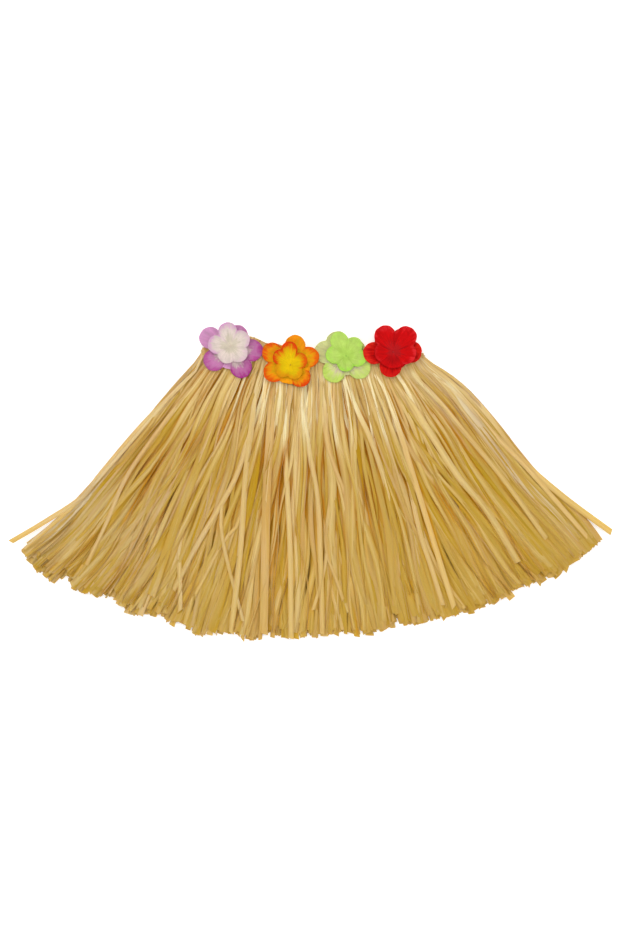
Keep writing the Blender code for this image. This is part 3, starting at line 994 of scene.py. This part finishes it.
elasticLook = {
    "foldLevels": (0.00225, 0.00715),  # mid heights of the back and the front stretch
    "steps": 70,
    "ribs": 6,
    "ribHeight": 0.00016,
    "waistTurn": 0.00245,
    "meanHeight": 0.0118,  # over the whole loop, lower at its two ends
}


def bandPoint(turn):
    # x, z and outward direction of the flattened loop at this share of the way round
    back, front = elasticLook["foldLevels"]
    half, radius, middle = skirt["waist"] / 2, elasticLook["waistTurn"], (back + front) / 2
    straight, bend = skirt["waist"], math.pi * radius
    run = turn % 1.0 * 2 * (straight + bend)
    for start, side in ((0.0, 1), (straight + bend, -1)):
        if run < start + straight:
            return side * (run - start - half), middle + side * radius, 0.0, side
        if run < start + straight + bend:
            angle = (run - start - straight) / radius
            outX, outZ = side * math.sin(angle), side * math.cos(angle)
            return side * half + radius * outX, middle + radius * outZ, outX, outZ
    return -half, middle + radius, 0.0, 1


def makeElastic(material):
    half, courses = skirt["waist"] / 2, elasticLook["ribs"] * 2
    bm = bmesh.new()
    bmesh.ops.create_circle(bm, cap_ends=False, segments=elasticLook["steps"] * 2, radius=1.0)
    edges = bm.edges[:]
    for _ in range(courses):
        grown = bmesh.ops.extrude_edge_only(bm, edges=edges)["geom"]
        edges = [item for item in grown if isinstance(item, bmesh.types.BMEdge)]
        verts = [item for item in grown if isinstance(item, bmesh.types.BMVert)]
        bmesh.ops.translate(bm, verts=verts, vec=(0, 0, 1))
    for vert in bm.verts:
        x, z, outX, outZ = bandPoint(math.atan2(vert.co.y, vert.co.x) / tau % 1.0)
        held = min(max(x, -half), half)
        height = min(skirt["elasticHeight"], float(headingHeight(held / half)) - skirt["foldDepth"])
        y = float(waistTop(held)) - skirt["foldDepth"] - height * (vert.co.z / courses)
        proud = elasticLook["ribHeight"] * (round(vert.co.z) % 2)
        vert.co = (x + outX * proud, y, z + outZ * proud)
    mesh = meshFrom(bm, "waistband_elastic")
    band = finishPiece("waistband_elastic", mesh, material, ("elastic_front", "elastic_back"), "elastic")
    giveWall(band, skirt["elasticWall"])
    print("elastic loop", len(mesh.polygons), "faces")


stitchLook = {
    "length": 0.0032,
    "gap": 0.0010,
    "thread": 0.00026,
    "below": 0.0152,
    "front": 0.00935,
    "back": 0.00042,
    "reach": 0.9,  # how far the line of stitches runs, as a share of the waist
    "segments": (8, 6),
}


def addStitch(bm, place, direction, halfLength, thread):
    # one raised stitch: a stretched little ball of thread
    around, lengthwise = stitchLook["segments"]
    made = bmesh.ops.create_uvsphere(bm, u_segments=around, v_segments=lengthwise, radius=1.0)["verts"]
    turn = Vector(direction).to_track_quat("Z", "Y").to_matrix()
    bmesh.ops.scale(bm, verts=made, vec=(thread, thread, halfLength))
    bmesh.ops.rotate(bm, verts=made, cent=(0, 0, 0), matrix=turn)
    bmesh.ops.translate(bm, verts=made, vec=place)


def makeHeadingStitches(material):
    half, length, thread = skirt["waist"] / 2, stitchLook["length"], stitchLook["thread"]
    pitch, reach = length + stitchLook["gap"], half * stitchLook["reach"]
    pieces = []
    for side in ("front", "back"):
        bm = bmesh.new()
        for index in range(int(2 * reach / pitch)):
            x = -reach + (index + 0.5) * pitch
            ends = [float(waistTop(x + step)) for step in (-pitch / 2, pitch / 2)]
            taper = float(headingHeight(x / half)) / skirt["headingHeight"]
            place = (x, sum(ends) / 2 - stitchLook["below"] * taper, stitchLook[side])
            addStitch(bm, place, (pitch, ends[1] - ends[0], 0), length / 2, thread)
        name = "heading_stitches_" + side
        pieces.append(finishPiece(name, meshFrom(bm, name), material, (), "straw"))
    print("heading stitches, two rows")
    return pieces


blossomShape = {
    "sides": 150,
    "rings": (0.05, 0.12, 0.2, 0.28, 0.36, 0.44, 0.52, 0.6, 0.68, 0.76, 0.83, 0.89, 0.94, 0.98, 1.0),
    "wall": 0.00042,
    "seat": 0.0102,
    "storeyRise": 0.0018,
    "cupPower": 1.6,
    "petalCurl": 0.0018,
    "petalTilt": 0.0009,
    "upturn": 0.3,
    "veins": 31,
    "veinSway": (1.3, 3),  # how far and how often the veins sway round the blossom
    "veinRise": 2.2,
    "veinDepth": (1.15, 0.5),  # near the middle, and how much less at the rim
    "ruffles": 9,
    "ruffleShare": 0.7,
    "rufflePower": 5,
    "fray": ((0.006, 11), (0.004, 23)),  # how far and how often the rim is uneven, coarse and fine
    "frayPower": 3,
    "phaseStep": 1.7,
    "dimple": 0.0007,
    "dimpleRadius": 0.0026,
}
# Each layer has its place (x, y), how far out its notches come as a share of the cut, its petals as (degrees,
# reach, how deep the rim's dye is, tilt), and where its dyes start on the way out to the rim.
blossoms = {
    "purple_blossom_lower": {
        "at": (-0.0861, 0.0090), "petalRadius": 0.0115, "cut": 0.0350, "notch": 0.60, "cup": 0.0040,
        "storey": 0, "vein": 0.00018, "ruffle": 0.0005, "seed": 1, "slot": "purple_cloth",
        "petals": (
            (-4, 0.0336, 0.85, 0.3), (64, 0.0265, 0.3, -0.3), (152, 0.0360, 0.1, 0.4),
            (214, 0.0324, 0.7, -0.4), (299, 0.0333, 1.0, 0.5),
        ),
        "cloth": {
            "Middle": srgb(212, 196, 190), "Body": srgb(204, 148, 190), "Rim": srgb(154, 46, 122),
            "Notch": srgb(208, 170, 200), "Body From": 0.42, "Rim From": 0.76, "Rim Soft": 0.3,
            "Notch Share": 0.3, "Vein Contrast": 0.5, "Body Dye": 0.60,
        },
    },
    "purple_blossom_upper": {
        "at": (-0.0871, 0.0122), "petalRadius": 0.0100, "cut": 0.0240, "notch": 0.52, "cup": 0.0085,
        "storey": 1, "vein": 0.00022, "ruffle": 0.0004, "seed": 2, "slot": "cream_cloth",
        "petals": (
            (28, 0.0225, 0.5, 0.3), (98, 0.0244, 0.9, -0.4), (175, 0.0230, 0.8, 0.4),
            (252, 0.0190, 0.15, -0.2), (320, 0.0215, 0.35, 0.3),
        ),
        "cloth": {
            "Middle": srgb(202, 192, 174), "Body": srgb(214, 200, 192), "Rim": srgb(200, 140, 190),
            "Notch": srgb(206, 178, 194), "Body From": 0.30, "Rim From": 0.70, "Rim Soft": 0.36,
            "Notch Share": 0.5, "Vein Contrast": 0.35,
        },
    },
    "orange_blossom_lower": {
        "at": (-0.0236, -0.0067), "petalRadius": 0.0108, "cut": 0.0320, "notch": 0.66, "cup": 0.0084,
        "storey": 0, "vein": 0.00016, "ruffle": 0.0005, "seed": 3, "slot": "orange_cloth",
        "petals": (
            (20, 0.0312, 0.7, 0.4), (76, 0.0307, 0.15, -0.5), (149, 0.0330, 0.8, 0.4),
            (206, 0.0303, 0.8, -0.4), (307, 0.0278, 0.9, 0.3),
        ),
        "cloth": {
            "Middle": srgb(226, 176, 12), "Body": srgb(228, 148, 12), "Rim": srgb(210, 50, 2),
            "Notch": srgb(226, 188, 12), "Body From": 0.54, "Rim From": 0.76, "Rim Soft": 0.22,
            "Notch Share": 0.95, "Vein Contrast": 0.45, "Body Dye": 0.15,
        },
    },
    "orange_blossom_upper": {
        "at": (-0.0236, -0.0077), "petalRadius": 0.0084, "cut": 0.0240, "notch": 0.50, "cup": 0.0090,
        "storey": 1, "vein": 0.00016, "ruffle": 0.0003, "seed": 4, "slot": "yellow_cloth",
        "petals": (
            (24, 0.0185, 0.8, 0.4), (94, 0.0242, 1.0, -0.4), (143, 0.0210, 1.0, 0.5),
            (212, 0.0175, 0.2, -0.4), (300, 0.0165, 0.15, 0.3),
        ),
        "cloth": {
            "Middle": srgb(214, 182, 4), "Body": srgb(216, 160, 6), "Rim": srgb(212, 64, 2),
            "Notch": srgb(222, 186, 8), "Body From": 0.52, "Rim From": 0.71, "Rim Soft": 0.22,
            "Notch Share": 0.6, "Vein Contrast": 0.35, "Body Dye": 0.25,
        },
    },
    "green_blossom_lower": {
        "at": (0.0326, -0.0014), "petalRadius": 0.0120, "cut": 0.0320, "notch": 0.54, "cup": 0.0010,
        "storey": 0, "vein": 0.00038, "ruffle": 0.0005, "seed": 5, "slot": "pale_green_cloth",
        "petals": (
            (44, 0.0260, 0.6, 0.2), (112, 0.0305, 0.2, -0.3), (159, 0.0325, 0.15, 0.3),
            (231, 0.0287, 1.0, -0.3), (330, 0.0302, 0.8, 0.3),
        ),
        "cloth": {
            "Middle": srgb(206, 192, 166), "Body": srgb(202, 202, 142), "Rim": srgb(178, 202, 92),
            "Notch": srgb(204, 190, 168), "Body From": 0.38, "Rim From": 0.52, "Rim Soft": 0.4,
            "Notch Share": 0.7, "Vein Contrast": 0.35,
        },
    },
    "green_blossom_upper": {
        "at": (0.0347, 0.0017), "petalRadius": 0.0093, "cut": 0.0240, "notch": 0.54, "cup": 0.0040,
        "storey": 1, "vein": 0.00014, "ruffle": 0.0006, "seed": 6, "slot": "green_cloth",
        "petals": (
            (53, 0.0223, 0.3, 0.4), (115, 0.0269, 0.2, -0.3), (175, 0.0215, 0.6, 0.4),
            (266, 0.0165, 1.0, -0.5), (350, 0.0212, 0.9, 0.5),
        ),
        "cloth": {
            "Middle": srgb(166, 200, 88), "Body": srgb(174, 204, 98), "Rim": srgb(162, 214, 78),
            "Notch": srgb(158, 190, 78), "Body From": 0.30, "Rim From": 0.66, "Rim Soft": 0.3,
            "Notch Share": 0.5, "Vein Contrast": 0.2,
        },
    },
    "red_blossom_lower": {
        "at": (0.0840, 0.0049), "petalRadius": 0.0116, "cut": 0.0310, "notch": 0.58, "cup": 0.0085,
        "storey": 0, "vein": 0.00014, "ruffle": 0.0005, "seed": 7, "slot": "red_cloth",
        "petals": (
            (3, 0.0299, 0.5, 0.4), (56, 0.0280, 0.4, -0.3), (120, 0.0270, 0.6, 0.4),
            (181, 0.0315, 0.9, -0.5), (259, 0.0260, 0.3, 0.3),
        ),
        # Its darker Middle and Notch are painted shade in the cup and in the folds between the petals, and
        # its lighter Rim is partly painted highlight.
        "cloth": {
            "Middle": srgb(166, 2, 2), "Body": srgb(194, 4, 4), "Rim": srgb(210, 40, 26),
            "Notch": srgb(140, 2, 6), "Body From": 0.5, "Rim From": 0.72, "Rim Soft": 0.3,
            "Notch Share": 0.6, "Vein Contrast": 0.7,
        },
    },
    "red_blossom_upper": {
        "at": (0.0840, 0.0059), "petalRadius": 0.0115, "cut": 0.0300, "notch": 0.58, "cup": 0.0110,
        "storey": 1, "vein": 0.00016, "ruffle": 0.0005, "seed": 8, "slot": "red_cloth",
        "petals": (
            (49, 0.0312, 0.5, 0.4), (118, 0.0294, 0.7, -0.4), (185, 0.0195, 0.3, 0.3),
            (265, 0.0150, 0.4, -0.3), (352, 0.0240, 0.8, 0.5),
        ),
        # Its darker Middle and Notch are painted shade in the cup and in the folds between the petals, and
        # its lighter Rim is partly painted highlight.
        "cloth": {
            "Middle": srgb(172, 20, 24), "Body": srgb(194, 2, 6), "Rim": srgb(212, 38, 44),
            "Notch": srgb(144, 2, 8), "Body From": 0.16, "Rim From": 0.80, "Rim Soft": 0.22,
            "Notch Share": 0.6, "Vein Contrast": 0.6,
        },
    },
}


def petalAt(degrees, layer):
    # the outline's distance from the middle, the petal's reach, the place off its midline, its dye and tilt
    radius = layer["petalRadius"]
    best = (layer["notch"] * layer["cut"], layer["petals"][0][1], 1.0, 0.0, 0.0)
    for turn, reach, dye, tilt in layer["petals"]:
        off = math.radians((degrees - turn + 180) % 360 - 180)
        middle = reach - radius
        aside = middle * math.sin(off)
        if math.cos(off) > 0 and abs(aside) < radius:
            edge = middle * math.cos(off) + math.sqrt(radius**2 - aside**2)
            if edge > best[0]:
                best = (edge, reach, aside / radius, dye, tilt)
    return best


def petalLift(layer, turn, ring, edge, reach, off, tilt):
    # how high the cloth stands: cupped and tilted petals, veins, a ruffled rim and a dimple in the middle
    shape = blossomShape
    upturn = shape["upturn"] * (layer["cut"] - reach)
    lift = layer["cup"] * (ring * edge / layer["cut"]) ** shape["cupPower"]
    lift += ring**2 * (shape["petalCurl"] * off**2 + upturn) + shape["petalTilt"] * tilt * off * ring**2
    sway, swayTurns = shape["veinSway"]
    nearMiddle, lessAtRim = shape["veinDepth"]
    vein = layer["vein"] * math.sin(shape["veins"] * turn + sway * math.sin(swayTurns * turn))
    lift += vein * min(1.0, ring * shape["veinRise"]) * (nearMiddle - lessAtRim * ring)
    ruffle = math.sin(shape["ruffles"] * turn + layer["seed"] * shape["phaseStep"])
    lift += layer["ruffle"] * ring ** shape["rufflePower"] * ruffle * shape["ruffleShare"]
    return lift - shape["dimple"] * math.exp(-((ring * edge / shape["dimpleRadius"]) ** 2))


def makeBlossom(name, layer, material):
    # a stamped disc, pressed into a cup with five petals, veined and ruffled
    sides, rings = blossomShape["sides"], blossomShape["rings"]
    (coarse, coarseTurns), (fine, fineTurns) = blossomShape["fray"]
    bm = bmesh.new()
    bmesh.ops.create_circle(bm, cap_ends=True, cap_tris=True, segments=sides, radius=rings[0])
    for ring in rings[1:]:
        rim = [edge for edge in bm.edges if edge.is_boundary]
        grown = bmesh.ops.extrude_edge_only(bm, edges=rim)["geom"]
        new = [item for item in grown if isinstance(item, bmesh.types.BMVert)]
        size = ring / new[0].co.xy.length
        bmesh.ops.scale(bm, verts=new, vec=(size, size, 1))
    layers = {mark: bm.verts.layers.float.new(mark) for mark in ("ringShare", "petalOff", "petalDye")}
    heading = bm.verts.layers.float_vector.new("petalHeading")
    for vert in bm.verts:
        ring = vert.co.xy.length
        turn = math.atan2(vert.co.y, vert.co.x)
        edge, reach, off, dye, tilt = petalAt(math.degrees(turn), layer)
        fray = coarse * math.sin(coarseTurns * turn + layer["seed"] * blossomShape["phaseStep"])
        fray += fine * math.sin(fineTurns * turn)
        for mark, value in (("ringShare", ring), ("petalOff", abs(off)), ("petalDye", dye)):
            vert[layers[mark]] = value
        vert[heading] = (math.cos(turn), math.sin(turn), ring)
        vert.co.xy *= edge * (1 + ring ** blossomShape["frayPower"] * fray)
        vert.co.z = petalLift(layer, turn, ring, edge, reach, off, tilt)
    seat = blossomShape["seat"] + layer["storey"] * blossomShape["storeyRise"]
    bmesh.ops.translate(bm, verts=bm.verts[:], vec=(*layer["at"], seat))
    mesh = meshFrom(bm, "cloth_" + name)
    blossom = finishPiece("cloth_" + name, mesh, material, (name,), layer["slot"])
    giveWall(blossom, blossomShape["wall"])
    across = 2 * max(petal[1] for petal in layer["petals"])
    print("blossom layer", name, "cut from", round(across * 1000), "mm cloth")


dyeLook = {
    "patches": (170, 2),  # scale and detail
    "grain": (1400, 2),
    "streaks": (1.6, 3),
    "streakStretch": (7, 7, 0.8),
    "patchShift": 0.5,  # how far patches and streaks carry the dye in and out
    "streakShift": 0.55,
    "bodySoft": 0.28,
    "notchStarts": (0.1, 0.4),
    "notchEnds": (0.95, 0.5),
    "notchSides": (0.55, 0.95),
    "patchShade": 0.4,
    "grainShade": (0.12, 0.94),
    "roughness": (0.15, 0.7),
    "weavePitch": 0.00045,
    "weaveRelief": 0.3,
}
clothSurface = {"Sheen Weight": 0.03, "Specular IOR Level": 0.1}
clothRelief = (0.00012, 0.7)


def dyedClothGroup():
    # dye that runs from the middle of a blossom to its rims, with streaks along the veins, partly painted
    # shade of the folds, and a fine weave
    colours = {label: white for label in ("Middle", "Body", "Rim", "Notch")}
    places = {"Body From": 0.3, "Rim From": 0.7, "Rim Soft": 0.25}
    shares = {"Notch Share": 0.0, "Vein Contrast": 0.2, "Body Dye": 0.0}
    group, tools, given, out = newGroup("dyedCloth", {**colours, **places, **shares})
    look, maths, times = dyeLook, tools.maths, tools.times
    place = tools.objectPlace()
    patches, grain = tools.noise(place, *look["patches"]), tools.noise(place, *look["grain"])
    ring, off, dye = tools.mark("ringShare"), tools.mark("petalOff"), tools.mark("petalDye")
    streakAt = tools.add("ShaderNodeMapping")
    streakAt.inputs["Scale"].default_value = look["streakStretch"]
    heading = tools.add("ShaderNodeAttribute", attribute_name="petalHeading")
    tools.wire(heading.outputs["Vector"], streakAt.inputs["Vector"])
    streaks = tools.noise(streakAt.outputs[0], *look["streaks"])
    patchy, streaky = maths("SUBTRACT", patches, 0.5), maths("SUBTRACT", streaks, 0.5)
    uneven = maths("MULTIPLY_ADD", patchy, look["patchShift"], ring)
    uneven = maths("MULTIPLY_ADD", streaky, look["streakShift"], uneven)

    bodyFrom, rimFrom = given["Body From"], given["Rim From"]
    body = tools.mix(times(dye, given["Body Dye"]), given["Body"], given["Rim"])
    bodyShare = tools.between(uneven, bodyFrom, maths("ADD", bodyFrom, look["bodySoft"]))
    cloth = tools.mix(bodyShare, given["Middle"], body)
    rimShare = tools.between(uneven, rimFrom, maths("ADD", rimFrom, given["Rim Soft"]))
    cloth = tools.mix(times(rimShare, dye), cloth, given["Rim"])
    notch = times(tools.between(ring, *look["notchStarts"]), tools.between(ring, *look["notchEnds"]))
    notch = times(notch, tools.between(off, *look["notchSides"]))
    cloth = tools.mix(times(notch, given["Notch Share"]), cloth, given["Notch"])

    # streaks along the veins lighten and darken the dye: partly the cloth's own mottling, partly painted
    # shade and highlight of its folds
    shade = maths("MULTIPLY_ADD", streaky, given["Vein Contrast"], 1.0)
    shade = maths("MULTIPLY_ADD", patchy, look["patchShade"], shade)
    shade = times(shade, maths("MULTIPLY_ADD", grain, *look["grainShade"]))
    shaded = tools.add("ShaderNodeHueSaturation")
    tools.wire(cloth, shaded.inputs["Color"])
    tools.wire(shade, shaded.inputs["Value"])
    tools.wire(shaded.outputs["Color"], out["Color"])
    tools.wire(maths("MULTIPLY_ADD", grain, *look["roughness"]), out["Roughness"])
    split = tools.add("ShaderNodeSeparateXYZ")
    tools.wire(place, split.inputs[0])
    threads = [maths("SINE", times(split.outputs[axis], tau / look["weavePitch"])) for axis in (0, 1)]
    tools.wire(maths("MULTIPLY_ADD", times(*threads), look["weaveRelief"], grain), out["Height"])
    return group


def makeBlossoms(group):
    for name, layer in blossoms.items():
        material = groupMaterial(layer["slot"] + "_" + name, group, layer["cloth"], clothSurface, clothRelief)
        makeBlossom(name, layer, material)


yarnLook = {
    "slant": 0.7,
    "fuzz": (2600, 2),  # scale and detail
    "plyShare": 0.35,
    "crown": (0.15, 0.85),
    "roughness": (0.2, 0.6),
}
yarnRelief = (0.00008, 0.8)
# Each yarn: (light, dark, pitch of its plies). The light is painted highlight on the plies' crowns and the
# dark painted shade between them.
yarnColours = {
    "strawThread": (srgb(226, 196, 130), srgb(176, 138, 70), 0.0006),
    "wovenElastic": (srgb(224, 206, 160), srgb(186, 160, 104), 0.0008),
    "purpleThread": (srgb(220, 205, 190), srgb(190, 160, 170), 0.0005),
    "orangeThread": (srgb(190, 140, 16), srgb(140, 90, 10), 0.0005),
    "greenThread": (srgb(150, 200, 80), srgb(110, 160, 50), 0.0005),
    "redThread": (srgb(170, 20, 24), srgb(120, 4, 10), 0.0005),
}


def spunYarnGroup():
    # a twisted or woven yarn: slanting plies with painted highlight on their crowns and painted shade between
    # them
    group, tools, given, out = newGroup("spunYarn", {"Light": white, "Dark": white, "Pitch": 0.0006})
    place = tools.objectPlace()
    split = tools.add("ShaderNodeSeparateXYZ")
    tools.wire(place, split.inputs[0])
    slanted = tools.maths("ADD", split.outputs[0], tools.times(split.outputs[1], yarnLook["slant"]))
    plies = tools.maths("SINE", tools.maths("DIVIDE", tools.times(slanted, tau), given["Pitch"]))
    fuzz = tools.noise(place, *yarnLook["fuzz"])
    crown = tools.maths("MULTIPLY_ADD", plies, yarnLook["plyShare"], fuzz)
    # painted highlight on the plies' crowns, painted shade between them
    yarn = tools.mix(tools.between(crown, *yarnLook["crown"]), given["Dark"], given["Light"])
    tools.wire(yarn, out["Color"])
    tools.wire(tools.maths("MULTIPLY_ADD", fuzz, *yarnLook["roughness"]), out["Roughness"])
    tools.wire(crown, out["Height"])
    return group


def yarnMaterial(name, group):
    values = dict(zip(("Light", "Dark", "Pitch"), yarnColours[name]))
    return groupMaterial(name, group, values, {}, yarnRelief)


tieLook = {"length": 0.0011, "thread": 0.00022, "lift": -0.00028, "directions": ((1, 0.6, 0), (-0.7, 1, 0))}


def makeTies(yarnGroup):
    # the crossed stitches that hold each blossom's two layers on the waistband
    seat = blossomShape["seat"] + blossomShape["storeyRise"] + blossomShape["wall"] / 2
    for hue in ("purple", "orange", "green", "red"):
        layer = blossoms[hue + "_blossom_upper"]
        bm = bmesh.new()
        for direction in tieLook["directions"]:
            place = (*layer["at"], seat + tieLook["lift"])
            addStitch(bm, place, direction, tieLook["length"], tieLook["thread"])
        name, material = hue + "_blossom_tie", yarnMaterial(hue + "Thread", yarnGroup)
        finishPiece(name, meshFrom(bm, name), material, (), layer["slot"])
    print("blossom ties")


studio = {
    "cameraHeight": 2.5,
    "frameHeight": 0.9765,
    "frameMiddle": (-0.00315, -0.11275, 0.010),
    "sensor": 24.0,
    "floorRadius": 2.6,
    "floorSides": 96,
    "floorGrey": 0.9,
    "floorRoughness": 0.9,
    "floorGlow": (0.34, 1.0),  # near the skirt and at the edge
    "glowFrom": 0.3,  # shares of the floor's radius
    "glowFull": 0.8,
    "airLight": 0.20,
    "aim": (0, -0.1, 0),
}
# Each lamp: (place, size, energy, tone).
lamps = {
    "sheen": ((-0.05, 0.44, 2.6), (0.9, 0.25), 12, (1.0, 0.97, 0.9)),
    "overhead": ((0, 0.0, 2.8), (1.7, 1.7), 20, (1.0, 0.99, 0.97)),
    "key": ((-0.8, 1.3, 1.9), (1.2, 0.8), 19, (1.0, 0.985, 0.96)),
    "fillLeft": ((-1.7, -0.7, 1.5), (1.2, 1.0), 11, (1.0, 1.0, 1.0)),
    "fillRight": ((1.7, -0.3, 1.5), (1.2, 1.0), 14, (1.0, 1.0, 1.0)),
    "fillHem": ((0.3, -1.8, 1.5), (1.4, 0.8), 9, (1.0, 1.0, 1.0)),
}


def makeFloor():
    bm = bmesh.new()
    bmesh.ops.create_circle(bm, cap_ends=True, segments=studio["floorSides"], radius=studio["floorRadius"])
    mesh = bpy.data.meshes.new("floor")
    bm.to_mesh(mesh)
    bm.free()
    material, tools, shader = newMaterial("paleFloor")
    grey = studio["floorGrey"]
    shader["Base Color"].default_value = (grey, grey, grey, 1)
    shader["Roughness"].default_value = studio["floorRoughness"]
    shader["Emission Strength"].default_value = 1.0
    distance = tools.add("ShaderNodeVectorMath", operation="LENGTH")
    tools.wire(tools.objectPlace(), distance.inputs[0])
    reach = [studio["floorRadius"] * share for share in (studio["glowFrom"], studio["glowFull"])]
    glow = [(level, level, level, 1) for level in studio["floorGlow"]]
    tools.wire(tools.mix(tools.between(distance.outputs["Value"], *reach), *glow), shader["Emission Color"])
    mesh.materials.append(material)
    floor = bpy.data.objects.new("floor", mesh)
    scene.collection.objects.link(floor)


def makeAir():
    # white where the camera sees past the floor, dimmer as light
    world = bpy.data.worlds.new("studioAir")
    world.use_nodes = True
    air = Nodes(world.node_tree)
    backdrop = world.node_tree.nodes["Background"].inputs
    backdrop["Color"].default_value = white
    seen = air.add("ShaderNodeLightPath").outputs["Is Camera Ray"]
    dim = studio["airLight"]
    air.wire(air.maths("MULTIPLY_ADD", seen, 1 - dim, dim), backdrop["Strength"])
    scene.world = world


def makeLamps():
    for name, (place, size, energy, tone) in lamps.items():
        light = bpy.data.lights.new(name, "AREA")
        light.shape = "RECTANGLE"
        light.size, light.size_y = size
        light.energy = energy
        light.color = tone
        lamp = bpy.data.objects.new(name, light)
        scene.collection.objects.link(lamp)
        lamp.location = place
        direction = Vector(studio["aim"]) - Vector(place)
        lamp.rotation_euler = direction.to_track_quat("-Z", "Y").to_euler()


def makeCamera():
    x, y, z = studio["frameMiddle"]
    camera = bpy.data.objects.new("camera", bpy.data.cameras.new("camera"))
    scene.collection.objects.link(camera)
    camera.location = (x, y, studio["cameraHeight"])
    camera.data.sensor_fit = "VERTICAL"
    camera.data.sensor_height = studio["sensor"]
    camera.data.lens = studio["sensor"] * (studio["cameraHeight"] - z) / studio["frameHeight"]
    scene.camera = camera
    scene.view_settings.view_transform = "Standard"
    print("floor, air, lamps and camera")


makeFloor()
makeAir()
makeLamps()
makeCamera()
raffia = makeRaffia(raffiaFibreGroup())
spunYarn = spunYarnGroup()
stitches = makeHeadingStitches(yarnMaterial("strawThread", spunYarn))
makeElastic(yarnMaterial("wovenElastic", spunYarn))
makeBlossoms(dyedClothGroup())
makeTies(spunYarn)
